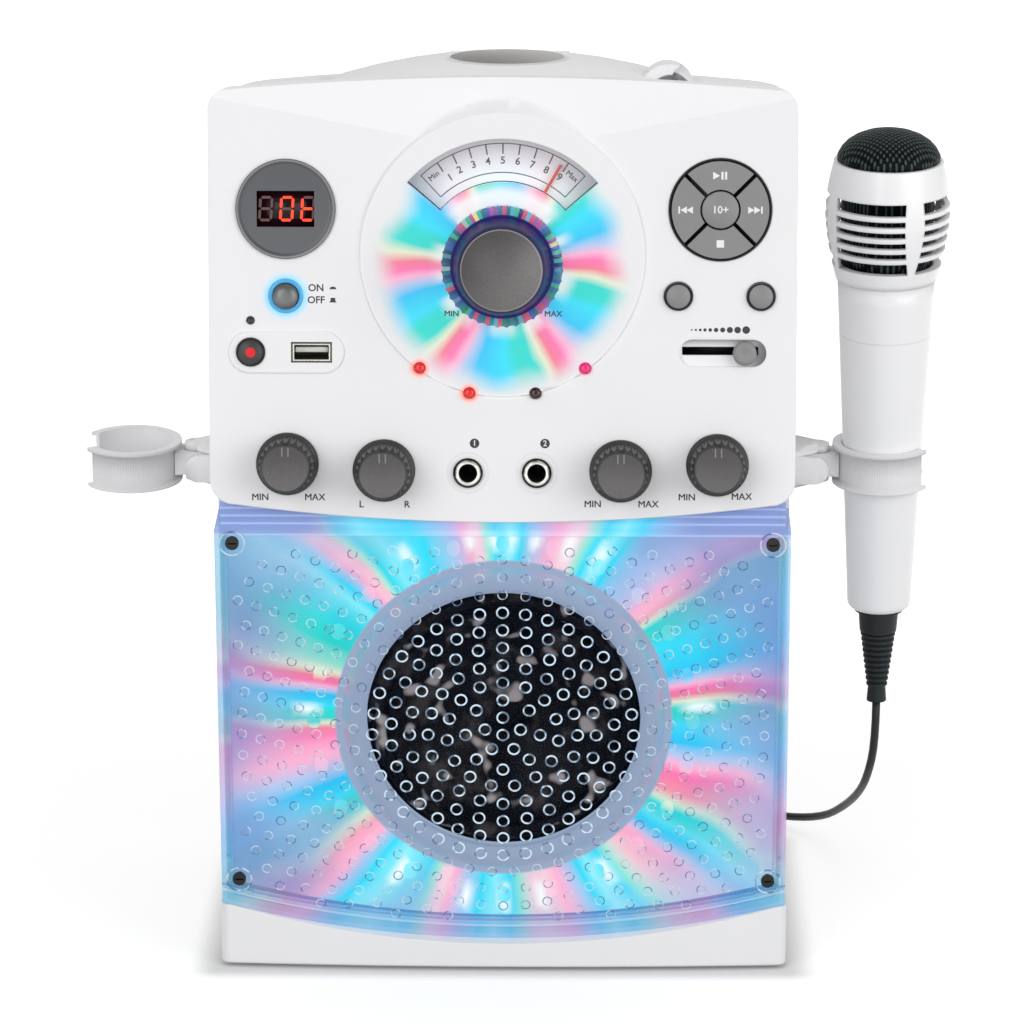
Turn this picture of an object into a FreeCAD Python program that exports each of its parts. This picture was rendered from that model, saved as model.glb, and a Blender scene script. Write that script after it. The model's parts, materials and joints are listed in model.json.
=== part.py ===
# Karaoke machine with a top-loading disc player, a clear speaker cover and a clip-on microphone.
# Millimetres and degrees. +Z is up, the front faces -Y, the origin is on the floor under the middle.
import FreeCAD, Part
import math
import os
import types

import Sketcher

SIZES = {
    # Cabinet
    "body_width": 213.0,
    "body_depth": 190.0,
    "nose_y": -86.0,
    "nose_height": 176.0,
    "wall": 2.6,
    "seam": 0.1,
    "fit": 0.3,
    "cabinet_inset": 1.0,
    "cabinet_top": 317.3,
    "cabinet_side_top": 311.6,
    "cabinet_corner": 12.0,
    # Plinth and feet
    "plinth_height": 24.5,
    "plinth_inset": 0.5,
    "plinth_front": 20.0,
    "plinth_bow": 3.6,
    "plinth_corner": 4.0,
    "plinth_deck": 14.0,
    "plinth_cavity": 7.0,
    "foot_height": 1.5,
    "foot_radius": 8.0,
    "foot_inset": 22.0,
    # Control panel
    "panel_lean": 5.0,
    "panel_depth": 28.0,
    "panel_bow": 6.3,
    "panel_corner": 9.0,
    "panel_side": 150.0,
    "panel_top_corner": 7.0,
    "panel_crown": 161.0,
    "crease_mid": 134.0,
    "crease_slope": 0.191,
    "facet_rise": 27.0,
    "facet_run": 17.5,
    "boss_height": 97.7,
    "boss_radius": 51.4,
    "boss_proud": 1.2,
    "boss_flank": 20.0,
    "cavity_top": 127.0,
    "top_cavity_depth": 7.0,
    # Volume dial
    "dial_height": 94.1,
    "dial_outer": 45.4,
    "dial_inner": 29.8,
    "dial_half_angle": 49.4,
    "dial_floor": 8.2,
    "dial_plate_thickness": 1.5,
    "dial_window_thickness": 1.4,
    "pointer_width": 1.1,
    "pointer_reach": 41.5,
    "pointer_rest": 30.5,
    "pointer_thickness": 1.2,
    "pointer_back": 5.8,
    "pointer_hub": 5.0,
    "shaft_radius": 3.0,
    "shaft_play": 0.05,
    "volume_cap": 14.8,
    "volume_body": 18.0,
    "volume_skirt": 22.1,
    "volume_skirt_height": 8.0,
    "volume_height": 24.0,
    "volume_lift": 0.6,
    "volume_facets": 40.0,
    # Rotary knobs and jacks in the lower row
    "knob_outer_x": 78.1,
    "knob_outer_v": 21.4,
    "knob_inner_x": 43.0,
    "knob_inner_v": 19.1,
    "knob_skirt": 11.4,
    "knob_skirt_height": 2.2,
    "knob_grip": 10.6,
    "knob_cap": 9.2,
    "knob_height": 15.0,
    "knob_lift": 0.5,
    "knob_teeth": 24.0,
    "knob_tooth": 0.7,
    "knob_mark": 1.6,
    "jack_x": 12.5,
    "jack_v": 18.2,
    "jack_bore": 3.25,
    "jack_bush": 4.5,
    "jack_nut": 5.4,
    "jack_proud": 1.6,
    "jack_body": 14.0,
    "jack_depth": 22.0,
    # Display, power, record and USB group
    "display_x": -78.4,
    "display_v": 114.1,
    "display_radius": 18.1,
    "display_flange": 0.9,
    "display_wide": 20.8,
    "display_tall": 13.0,
    "power_x": -78.5,
    "power_v": 82.5,
    "power_radius": 4.6,
    "power_proud": 3.4,
    "power_ring": 6.2,
    "power_ring_proud": 0.7,
    "record_x": -91.3,
    "record_v": 62.1,
    "record_radius": 5.0,
    "record_proud": 1.6,
    "pill_left": -99.2,
    "pill_right": -57.3,
    "pill_radius": 7.6,
    "pill_proud": 0.5,
    "usb_x": -69.2,
    "usb_wide": 13.6,
    "usb_tall": 6.3,
    "usb_shell": 0.5,
    "usb_depth": 11.0,
    "usb_tongue": 1.8,
    "led_radius": 2.1,
    "led_proud": 0.8,
    "led_outer_x": 30.0,
    "led_outer_v": 56.5,
    "led_inner_x": 12.0,
    "led_inner_v": 47.4,
    "record_led_v": 73.6,
    "record_led_radius": 1.45,
    # Transport pad, small buttons and light slider
    "pad_x": 78.6,
    "pad_v": 114.1,
    "pad_radius": 18.6,
    "pad_rim": 0.7,
    "pad_floor": 3.2,
    "pad_half_gap": 0.72,
    "pad_proud": 1.4,
    "skip_radius": 6.7,
    "button_thickness": 3.2,
    "button_row_v": 82.8,
    "source_x": 63.6,
    "repeat_x": 93.5,
    "button_radius": 5.0,
    "button_proud": 1.6,
    "slider_left": 64.1,
    "slider_right": 95.6,
    "slider_v": 62.1,
    "slider_tall": 9.8,
    "slider_recess": 1.4,
    "slot_right": 92.6,
    "slot_v": 62.8,
    "slot_tall": 3.0,
    "thumb_x": 87.7,
    "thumb_radius": 4.3,
    "thumb_proud": 3.2,
    # Control board and main board
    "board_back": 16.0,
    "board_thickness": 1.6,
    "board_half_width": 97.0,
    "board_low": 16.0,
    "board_high": 124.0,
    "board_notch_x": 27.0,
    "board_notch_v": 33.0,
    "pot_radius": 7.5,
    "main_board_wide": 120.0,
    "main_board_tall": 80.0,
    "main_board_low": 120.0,
    "main_board_post": 4.0,
    "heat_sink_depth": 14.0,
    # Clear speaker cover
    "cover_lean": 7.0,
    "cover_depth": 28.0,
    "cover_half_width": 105.3,
    "cover_top": -4.0,
    "cover_bottom": -152.0,
    "cover_sag": 14.0,
    "cover_corner": 4.0,
    "cover_wall": 2.6,
    "cover_face": 4.0,
    "cover_step": 1.2,
    "cover_border": 4.6,
    "cover_lip_set_back": 5.2,
    "cover_lip_height": 2.7,
    "cover_lip_inset": 2.0,
    "screw_x": 98.7,
    "screw_high": -8.5,
    "screw_low": -142.0,
    "screw_notch": 7.2,
    "screw_head": 2.5,
    "screw_shank": 1.4,
    "screw_length": 15.0,
    "hole_radius": 1.9,
    "hole_pitch": 6.9,
    "hole_sides": 8.0,
    # Speaker behind the cover
    "speaker_v": -83.4,
    "baffle_depth": 16.0,
    "baffle_thickness": 2.5,
    "aperture_radius": 51.0,
    "baffle_ring_radius": 60.0,
    "baffle_ring_height": 4.5,
    "light_ring_radius": 70.5,
    "light_count": 24.0,
    "light_radius": 2.5,
    "light_height": 4.0,
    "frame_flange": 58.0,
    "frame_flange_thickness": 2.0,
    "frame_depth": 32.0,
    "frame_back": 30.0,
    "cone_throat": 14.0,
    "cone_depth": 20.0,
    "magnet_radius": 34.0,
    "magnet_depth": 16.0,
    # Disc player
    "lid_y": 26.0,
    "lid_radius": 68.0,
    "lid_top": 333.0,
    "lid_dome": 225.0,
    "lid_wall": 2.0,
    "lid_rim": 318.4,
    "lid_window_radius": 21.5,
    "lid_window_thickness": 1.2,
    "lid_seat": 2.0,
    "hood_left": 51.0,
    "hood_right": 70.5,
    "hood_top": 331.5,
    "hood_front": -17.0,
    "hood_depth": 12.0,
    "hood_wall": 2.4,
    "platform_radius": 70.0,
    "platform_top": 318.0,
    "well_radius": 63.5,
    "well_floor": 306.0,
    "deck_wall": 1.8,
    "hinge_y": 99.0,
    "hinge_z": 321.2,
    "hinge_barrel": 3.0,
    "hinge_pin": 1.5,
    "hinge_half_width": 18.0,
    "hinge_ear": 5.0,
    "hub_radius": 7.4,
    "hub_seat": 15.0,
    "hub_height": 6.0,
    "spindle_radius": 1.0,
    "motor_radius": 12.0,
    "motor_height": 14.0,
    "sled_start": 27.5,
    "sled_long": 18.0,
    "sled_wide": 26.0,
    "sled_travel": 27.0,
    "rail_radius": 1.5,
    "rail_spread": 9.0,
    "rail_drop": 4.0,
    "rail_start": 14.5,
    "rail_end": 72.0,
    # Rear sockets
    "socket_z": 60.0,
    "socket_pitch": 18.0,
    "socket_radius": 5.0,
    "socket_bore": 3.0,
    "socket_proud": 1.4,
    # Microphone clips and brackets
    "clip_x": 143.7,
    "clip_y": 14.0,
    "clip_z": 178.0,
    "clip_tilt": 6.0,
    "clip_bore": 15.5,
    "clip_wall": 1.7,
    "clip_flange": 1.9,
    "clip_flange_thickness": 1.4,
    "clip_height": 15.5,
    "clip_gap": 62.0,
    "clip_arm_width": 12.0,
    "clip_arm_height": 9.0,
    "bracket_plate": 3.0,
    "bracket_reach": 15.0,
    "bracket_half_width": 13.0,
    "gusset": 2.4,
    "tongue": 2.4,
    # Microphone
    "mic_tail": -59.0,
    "mic_tail_radius": 12.2,
    "mic_seam": 73.0,
    "mic_seam_radius": 18.5,
    "mic_tail_round": 3.0,
    "mic_widest": 97.0,
    "mic_widest_radius": 23.6,
    "mic_rim": 119.0,
    "mic_rim_radius": 20.6,
    "mic_top": 131.0,
    "mic_basket_wall": 2.2,
    "mic_slot_half_width": 13.5,
    "mic_slot_first": 79.4,
    "mic_slot_wide": 4.6,
    "mic_slot_narrow": 2.3,
    "mic_slot_rib": 1.9,
    "mic_slot_turn": 22.0,
    "boot_collar": 9.4,
    "boot_radius": 7.7,
    "boot_end_radius": 3.8,
    "boot_length": 38.5,
    "boot_sleeve": 9.5,
    "boot_ribs": 10.0,
    "boot_rib": 0.7,
    # Microphone cord, its put-away coil and plug
    "cord_radius": 1.6,
    "cord_sides": 6.0,
    "cord_lead": 18.0,
    "coil_x": 60.4,
    "coil_y": 134.6,
    "coil_start": 58.0,
    "coil_end": 90.0,
    "coil_approach": 22.0,
    "coil_inner": 12.5,
    "coil_turns": 3.0,
    "coil_layers": 4.0,
    "coil_pitch": 4.2,
    "coil_lift": 1.0,
    "tie_wall": 0.8,
    "tie_width": 6.0,
    "plug_radius": 6.0,
    "plug_length": 34.0,
    "plug_tip_radius": 3.15,
    "plug_tip_length": 30.0,
}

# Hole rings of the speaker cover, from the middle outwards.
HOLE_COUNTS = (5, 8, 15, 20, 24, 30, 36)

# Route of the microphone cord after the boot, to the coil behind the cabinet.
CORD_ROUTE = (
    (141.5, 36.0, 47.0),
    (139.3, 54.0, 35.0),
    (135.0, 80.0, 22.0),
    (127.5, 103.0, 10.5),
    (112.0, 125.0, 4.2),
)


class Size:
    """A length or an angle: its value, and the sheet expression that gives it."""

    def __init__(self, value, text):
        self.value = value
        self.text = text

    def __add__(self, other):
        return Size(self.value + value_of(other), f"({self.text} + {text_of(other)})")

    def __radd__(self, other):
        return Size(value_of(other) + self.value, f"({text_of(other)} + {self.text})")

    def __sub__(self, other):
        return Size(self.value - value_of(other), f"({self.text} - {text_of(other)})")

    def __rsub__(self, other):
        return Size(value_of(other) - self.value, f"({text_of(other)} - {self.text})")

    def __mul__(self, other):
        return Size(self.value * value_of(other), f"({self.text} * {text_of(other)})")

    def __rmul__(self, other):
        return Size(value_of(other) * self.value, f"({text_of(other)} * {self.text})")

    def __truediv__(self, other):
        return Size(self.value / value_of(other), f"({self.text} / {text_of(other)})")

    def __neg__(self):
        return Size(-self.value, f"(-{self.text})")


def value_of(size):
    return size.value if isinstance(size, Size) else float(size)


def text_of(size):
    return size.text if isinstance(size, Size) else f"{float(size):.6f}"


def sine(angle):
    return Size(math.sin(math.radians(value_of(angle))), f"sin({text_of(angle)})")


def cosine(angle):
    return Size(math.cos(math.radians(value_of(angle))), f"cos({text_of(angle)})")


def root(square):
    return Size(math.sqrt(value_of(square)), f"sqrt({text_of(square)})")


def bind(thing, name, size):
    """Give a property a plain number, or tie it to the sheet."""
    if isinstance(size, Size):
        thing.setExpression(name, size.text)
    else:
        thing.setExpression(name, f"{float(size):.6f}")


doc = FreeCAD.newDocument("karaoke_machine")
sheet = doc.addObject("Spreadsheet::Sheet", "Sizes")
for row, (alias, number) in enumerate(SIZES.items(), start=1):
    sheet.set(f"A{row}", alias.replace("_", " "))
    sheet.set(f"B{row}", str(number))
    sheet.setAlias(f"B{row}", alias)
doc.recompute()
S = types.SimpleNamespace(**{alias: Size(float(sheet.get(alias)), f"Sizes.{alias}") for alias in SIZES})

NODES = {}
X_AXIS = FreeCAD.Vector(1, 0, 0)
UPRIGHT = 90.0
EIGHTH = math.sqrt(0.5)


class Drawing:
    """A sketch on one of a body's origin planes, with its points tied to the sheet."""

    def __init__(self, body, role, height):
        self.sketch = body.newObject("Sketcher::SketchObject", f"{body.Name}_sketch")
        origin_plane = next(item for item in body.Origin.OriginFeatures if item.Role == role)
        self.sketch.AttachmentSupport = [(origin_plane, "")]
        self.sketch.MapMode = "FlatFace"
        bind(self.sketch, "AttachmentOffset.Base.z", height)
        self.rules = []

    def pin(self, curve, point, x, y):
        for kind, axis, size in (("DistanceX", -2, x), ("DistanceY", -1, y)):
            if abs(value_of(size)) < 1e-9:
                self.rules.append((Sketcher.Constraint("PointOnObject", curve, point, axis), None))
            else:
                rule = Sketcher.Constraint(kind, -1, 1, curve, point, value_of(size))
                self.rules.append((rule, size))

    def circle(self, x, y, radius):
        centre = FreeCAD.Vector(value_of(x), value_of(y), 0)
        curve = self.sketch.addGeometry(Part.Circle(centre, FreeCAD.Vector(0, 0, 1), value_of(radius)), False)
        self.rules.append((Sketcher.Constraint("Radius", curve, value_of(radius)), radius))
        self.pin(curve, 3, x, y)
        return self

    def outline(self, corners):
        """Closed outline; a corner of four numbers starts an arc that passes through the last two."""
        flat = [FreeCAD.Vector(value_of(corner[0]), value_of(corner[1]), 0) for corner in corners]
        curves = []
        points = []
        for index, corner in enumerate(corners):
            here = flat[index]
            there = flat[(index + 1) % len(flat)]
            points.append((1, 2))
            if len(corner) == 2:
                curves.append(Part.LineSegment(here, there))
                continue
            bend = FreeCAD.Vector(value_of(corner[2]), value_of(corner[3]), 0)
            if (bend - here).cross(there - bend).z > 0:
                curves.append(Part.Arc(here, bend, there))
            else:
                curves.append(Part.Arc(there, bend, here))
                points[-1] = (2, 1)
        numbers = self.sketch.addGeometry(curves, False)
        ends = [(number, first, last) for number, (first, last) in zip(numbers, points)]
        for index, (number, first, last) in enumerate(ends):
            follower = ends[(index + 1) % len(ends)]
            joint = Sketcher.Constraint("Coincident", number, last, follower[0], follower[1])
            self.rules.append((joint, None))
            self.pin(number, first, corners[index][0], corners[index][1])
            if len(corners[index]) == 4:
                self.bend(number, corners[index][2], corners[index][3])
        return self

    def bend(self, curve, x, y):
        """Hold an arc on a point that it passes through."""
        spot = self.sketch.addGeometry(Part.Point(FreeCAD.Vector(value_of(x), value_of(y), 0)), True)
        self.pin(spot, 1, x, y)
        self.rules.append((Sketcher.Constraint("PointOnObject", spot, 1, curve), None))

    def box(self, left, low, right, high):
        return self.outline([(left, low), (right, low), (right, high), (left, high)])

    def done(self):
        if not self.rules:
            return self.sketch
        numbers = self.sketch.addConstraint([rule for rule, _ in self.rules])
        for number, (_, size) in zip(numbers, self.rules):
            if isinstance(size, Size):
                self.sketch.setExpression(f"Constraints[{number}]", size.text)
        return self.sketch


class Piece:
    """One physical piece, built as a body from sketches and features."""

    def __init__(self, name, keep=True):
        self.body = doc.addObject("PartDesign::Body", name)
        self.body.Label = name
        if keep:
            NODES[name] = self.body

    def draw(self, role="XY_Plane", height=0.0):
        return Drawing(self.body, role, height)

    def feature(self, kind, drawing, length=None, flip=False, both=False, angle=None):
        sketch = drawing.done()
        made = self.body.newObject(f"PartDesign::{kind}", f"{self.body.Name}_{kind.lower()}")
        made.Profile = sketch
        sketch.Visibility = False
        if kind in ("Pad", "Pocket"):
            if both:
                made.SideType = "Symmetric"
            if length is None:
                made.Type = "ThroughAll"
            else:
                bind(made, "Length", length)
        else:
            made.ReferenceAxis = (sketch, ["V_Axis"])
            bind(made, "Angle", 360.0 if angle is None else angle)
            made.Midplane = both
        made.Reversed = flip
        return made

    def pad(self, drawing, length, **options):
        return self.feature("Pad", drawing, length, **options)

    def pocket(self, drawing, length=None, **options):
        return self.feature("Pocket", drawing, length, **options)

    def turn(self, outline, **options):
        """Turn an outline of radius and height round the Z axis."""
        return self.feature("Revolution", self.draw("XZ_Plane").outline(outline), **options)

    def groove(self, outline, **options):
        return self.feature("Groove", self.draw("XZ_Plane").outline(outline), **options)

    def pattern(self, feature, count, sketch):
        """Repeat a feature round the normal axis of a sketch."""
        doc.recompute()
        made = self.body.newObject("PartDesign::PolarPattern", f"{self.body.Name}_pattern")
        made.Originals = [feature]
        made.Axis = (sketch, ["N_Axis"])
        made.Angle = 360.0
        bind(made, "Occurrences", count)
        self.body.Tip = made
        return made

    def fillet(self, radius, chosen):
        """Round the edges that the test picks from the body as it stands."""
        doc.recompute()
        base = self.body.Tip
        names = [f"Edge{number}" for number, edge in enumerate(base.Shape.Edges, start=1) if chosen(edge)]
        made = self.body.newObject("PartDesign::Fillet", f"{self.body.Name}_fillet")
        made.Base = (base, names)
        bind(made, "Radius", radius)
        return made

    def place(self, x, y, z, turn=0.0):
        place(self.body, x, y, z, turn)
        return self

    def on_panel(self, x=0.0, v=0.0, w=0.0):
        """Local x to the right, y up the leaning control panel, z out of it."""
        self.place(x, S.nose_y + v * sine(S.panel_lean) - w * cosine(S.panel_lean),
                   S.nose_height + v * cosine(S.panel_lean) + w * sine(S.panel_lean),
                   UPRIGHT - S.panel_lean)
        return self

    def on_cover(self, x=0.0, v=0.0, w=0.0):
        """Local x to the right, y up the inward-leaning speaker cover, z out of it."""
        self.place(x, S.nose_y - v * sine(S.cover_lean) - w * cosine(S.cover_lean),
                   S.nose_height + v * cosine(S.cover_lean) - w * sine(S.cover_lean),
                   UPRIGHT + S.cover_lean)
        return self

    def at_clip(self, side):
        """Local z up the tilted microphone axis, origin at the middle of a clip ring."""
        return self.place(side * S.clip_x, S.clip_y, S.clip_z, S.clip_tilt)


def place(thing, x, y, z, turn):
    thing.Placement = FreeCAD.Placement(FreeCAD.Vector(0, 0, 0), FreeCAD.Rotation(X_AXIS, 30.0))
    for letter, size in zip("xyz", (x, y, z)):
        bind(thing, f"Placement.Base.{letter}", size)
    bind(thing, "Placement.Rotation.Angle", turn)


def keep_cut(name, base, tool):
    """Cut one object with another and keep the result as a piece."""
    made = doc.addObject("Part::Cut", name)
    made.Label = name
    made.Base = base
    made.Tool = tool
    NODES[name] = made
    return made


def corner_arc(x, y, radius, toward_x, toward_y):
    """Middle of a quarter-circle corner whose square corner is at x, y."""
    inner = radius * (1 - EIGHTH)
    return x + inner * toward_x, y + inner * toward_y


def panel_outline():
    """The control panel: bowed lower edge, crowned upper edge, four rounded corners."""
    half = S.body_width / 2
    low_x = half - S.panel_corner
    low_v = S.panel_bow + S.panel_corner
    top_x = half - S.panel_top_corner
    top_v = S.panel_side + S.panel_top_corner
    corners = [
        (-low_x, S.panel_bow, 0.0, 0.0),
        (low_x, S.panel_bow, *corner_arc(half, S.panel_bow, S.panel_corner, -1, 1)),
        (half, low_v),
        (half, S.panel_side, *corner_arc(half, top_v, S.panel_top_corner, -1, -1)),
        (top_x, top_v, 0.0, S.panel_crown),
        (-top_x, top_v, *corner_arc(-half, top_v, S.panel_top_corner, 1, -1)),
        (-half, S.panel_side),
        (-half, low_v, *corner_arc(-half, S.panel_bow, S.panel_corner, 1, 1)),
    ]
    return corners


def cover_outline(inset=0.0, top=None):
    """The speaker cover: straight top, sagging lower edge."""
    half = S.cover_half_width - inset
    high = (S.cover_top if top is None else top) - inset
    low = S.cover_bottom + inset
    sag = low - S.cover_sag
    return [(-half, high), (-half, low, 0.0, sag), (half, low), (half, high)]


def arc_band(inner, outer, half_angle):
    """A sector of a ring, symmetrical about the upward direction."""
    reach = sine(half_angle)
    rise = cosine(half_angle)
    return [
        (-outer * reach, outer * rise, 0.0, outer),
        (outer * reach, outer * rise),
        (inner * reach, inner * rise, 0.0, inner),
        (-inner * reach, inner * rise),
    ]


def shifted(corners, x, y):
    """Move an outline; arcs keep their middle points."""
    return [tuple(n + (x if place % 2 == 0 else y) for place, n in enumerate(corner)) for corner in corners]


def bowed(first, middle, last, steps=4):
    """Points of a shallow curve through three points, without its last one."""
    points = []
    for step in range(steps):
        t = step / steps
        shares = (2 * (t - 0.5) * (t - 1), 4 * t * (1 - t), 2 * t * (t - 0.5))
        points.append(tuple(first[n] * shares[0] + middle[n] * shares[1] + last[n] * shares[2] for n in (0, 1)))
    return points


def pill(left, right, middle, radius):
    """A long hole with round ends."""
    return [
        (left + radius, middle - radius),
        (right - radius, middle - radius, right, middle),
        (right - radius, middle + radius),
        (left + radius, middle + radius, left, middle),
    ]


def star(radius, depth, teeth):
    """A serrated outline, tips and roots in turn."""
    corners = []
    for step in range(2 * teeth):
        reach = radius if step % 2 else radius - depth
        angle = 360.0 * step / (2 * teeth)
        corners.append((reach * math.cos(math.radians(angle)), reach * math.sin(math.radians(angle))))
    return corners


def polygon(radius, sides):
    return star(radius, 0.0, sides // 2)


# Positions of the controls on the panel: the lower row of knobs, the jacks and the indicator lights.
KNOBS = {
    "voice_knob": (-S.knob_outer_x, S.knob_outer_v),
    "balance_knob": (-S.knob_inner_x, S.knob_inner_v),
    "echo_knob": (S.knob_inner_x, S.knob_inner_v),
    "mic_volume_knob": (S.knob_outer_x, S.knob_outer_v),
}
JACKS = ((-S.jack_x, S.jack_v), (S.jack_x, S.jack_v))
LIGHTS = (
    (-S.led_outer_x, S.led_outer_v),
    (-S.led_inner_x, S.led_inner_v),
    (S.led_inner_x, S.led_inner_v),
    (S.led_outer_x, S.led_outer_v),
)
SMALL_BUTTONS = {"source_button": S.source_x, "repeat_button": S.repeat_x}
SCREWS = [(side * S.screw_x, v) for side in (-1, 1) for v in (S.screw_high, S.screw_low)]


def rear_cabinet():
    piece = Piece("rear_cabinet")
    half = S.body_width / 2 - S.cabinet_inset
    floor = S.plinth_deck + S.seam
    back = S.nose_y + S.body_depth
    shell = piece.draw("XZ_Plane", -back)
    shell.outline([(-half, floor), (half, floor), (half, S.cabinet_side_top, 0.0, S.cabinet_top),
                   (-half, S.cabinet_side_top)])
    piece.pad(shell, S.body_depth)
    piece.fillet(S.cabinet_corner, lambda edge: is_upright(edge) and edge.CenterOfMass.y > 0)
    panel_reach = (S.panel_depth + S.seam) / cosine(S.panel_lean)
    cover_reach = (S.cover_depth + S.seam) / cosine(S.cover_lean)
    above = S.cabinet_top + 30 - S.nose_height
    below = S.nose_height
    top_slope = sine(S.panel_lean) / cosine(S.panel_lean)
    low_slope = sine(S.cover_lean) / cosine(S.cover_lean)
    clear = S.nose_y - 40

    def face(behind):
        """Front edge of the cabinet in side view, moved back by a distance."""
        return [
            (clear, S.nose_height + above),
            (clear, S.nose_height - below),
            (S.nose_y + cover_reach + below * low_slope + behind, S.nose_height - below),
            (S.nose_y + cover_reach + behind, S.nose_height),
            (S.nose_y + panel_reach + above * top_slope + behind, S.nose_height + above),
        ]

    piece.pocket(piece.draw("YZ_Plane").outline(face(0.0)), None, both=True)
    inside_low = floor + S.wall
    inside_high = S.cabinet_side_top - S.wall
    inner = half - S.wall
    inner_back = back - S.wall
    bend = S.cabinet_corner - S.wall
    hollow = piece.draw("XY_Plane", inside_high)
    hollow.outline([(-inner, clear), (inner, clear),
                    (inner, inner_back - bend, *corner_arc(inner, inner_back, bend, -1, -1)),
                    (inner - bend, inner_back), (-inner + bend, inner_back, *corner_arc(-inner, inner_back, bend, 1, -1)),
                    (-inner, inner_back - bend)])
    piece.pocket(hollow, inside_high - inside_low)
    platform = piece.draw("XY_Plane", S.platform_top)
    platform.circle(0.0, S.lid_y, S.platform_radius)
    piece.pad(platform, S.platform_top - inside_high, flip=True)
    well = piece.draw("XY_Plane", S.platform_top).circle(0.0, S.lid_y, S.well_radius)
    piece.pocket(well, S.platform_top - inside_high + 1)
    for side in (-1, 1):
        ear = piece.draw("YZ_Plane", side * (S.hinge_half_width + S.fit + S.hinge_ear / 2))
        reach = S.hinge_barrel + 0.6
        ear.outline([(S.hinge_y - reach, S.cabinet_top - S.wall), (S.hinge_y + reach, S.cabinet_top - S.wall),
                     (S.hinge_y + reach, S.hinge_z, S.hinge_y, S.hinge_z + reach), (S.hinge_y - reach, S.hinge_z)])
        piece.pad(ear, S.hinge_ear, both=True)
    pin_hole = piece.draw("YZ_Plane").circle(S.hinge_y, S.hinge_z, S.hinge_pin)
    piece.pocket(pin_hole, 2 * (S.hinge_half_width + S.fit + S.hinge_ear - 1), both=True)
    sockets = piece.draw("XZ_Plane", -back)
    for column in range(4):
        sockets.circle(-(column - 1.5) * S.socket_pitch, S.socket_z, S.socket_radius - 1.2)
    piece.pocket(sockets, S.wall + 1, flip=True)
    piece.place(0.0, 0.0, 0.0)


def is_upright(edge):
    ends = [vertex.Point for vertex in edge.Vertexes]
    return len(ends) == 2 and (ends[0] - ends[1]).Length > 100 and abs(ends[0].z - ends[1].z) > 100


def front_panel():
    piece = Piece("front_panel")
    half = S.body_width / 2
    piece.pad(piece.draw().outline(panel_outline()), S.panel_depth, flip=True)
    far = 150.0
    far_v = S.crease_mid + far * S.crease_slope
    facet = piece.draw()
    facet.outline([(0.0, S.crease_mid), (far, far_v), (far, far_v + 80), (-far, far_v + 80), (-far, far_v)])
    valley = piece.pocket(facet, 2 * S.panel_depth)
    valley.UseCustomVector = True
    valley.Direction = FreeCAD.Vector(0, S.facet_rise.value, -S.facet_run.value)
    boss = piece.draw("XY_Plane", S.boss_proud).circle(0.0, S.boss_height, S.boss_radius)
    made = piece.pad(boss, S.facet_run + S.boss_proud, flip=True)
    bind(made, "TaperAngle", S.boss_flank)
    inner = half - S.wall
    cavity = piece.draw("XY_Plane", -S.panel_depth)
    cavity.box(-inner, -S.panel_corner, inner, S.cavity_top)
    piece.pocket(cavity, S.panel_depth - S.wall, flip=True)
    upper = piece.draw("XY_Plane", -S.panel_depth)
    upper.box(-inner + S.wall, S.cavity_top - 1, inner - S.wall, S.panel_side - S.wall)
    piece.pocket(upper, S.top_cavity_depth, flip=True)
    raised = piece.draw().outline(pill(S.pill_left, S.pill_right, S.record_v, S.pill_radius))
    piece.pad(raised, S.pill_proud)
    front = S.boss_proud + 1
    recess = piece.draw("XY_Plane", front)
    recess.outline(shifted(arc_band(S.dial_inner, S.dial_outer, S.dial_half_angle), 0.0, S.dial_height))
    piece.pocket(recess, front + S.dial_floor)
    tray = piece.draw("XY_Plane", front)
    tray.outline(pill(S.slider_left, S.slider_right, S.slider_v, S.slider_tall / 2 - 0.01))
    piece.pocket(tray, front + S.slider_recess)
    holes = piece.draw("XY_Plane", front)
    holes.circle(0.0, S.dial_height, S.shaft_radius + 2 * S.fit)
    holes.circle(S.display_x, S.display_v, S.display_radius - S.display_flange)
    holes.circle(S.power_x, S.power_v, S.power_ring + S.seam)
    holes.circle(S.record_x, S.record_v, S.record_radius + S.fit)
    holes.circle(S.record_x, S.record_led_v, S.record_led_radius + S.seam)
    holes.circle(S.pad_x, S.pad_v, S.pad_radius + S.seam)
    for x, v in KNOBS.values():
        holes.circle(x, v, S.shaft_radius + 2 * S.fit)
    for x, v in JACKS:
        holes.circle(x, v, S.jack_bush + S.seam)
    for x, v in LIGHTS:
        holes.circle(x, v, S.led_radius + S.seam)
    for x in SMALL_BUTTONS.values():
        holes.circle(x, S.button_row_v, S.button_radius + S.fit)
    wide = S.usb_wide / 2 + S.seam
    tall = S.usb_tall / 2 + S.seam
    holes.box(S.usb_x - wide, S.record_v - tall, S.usb_x + wide, S.record_v + tall)
    holes.box(S.slider_left + 1, S.slot_v - S.slot_tall / 2, S.slot_right, S.slot_v + S.slot_tall / 2)
    piece.pocket(holes, front + 2 * S.wall + S.pad_floor)
    piece.on_panel()


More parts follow.
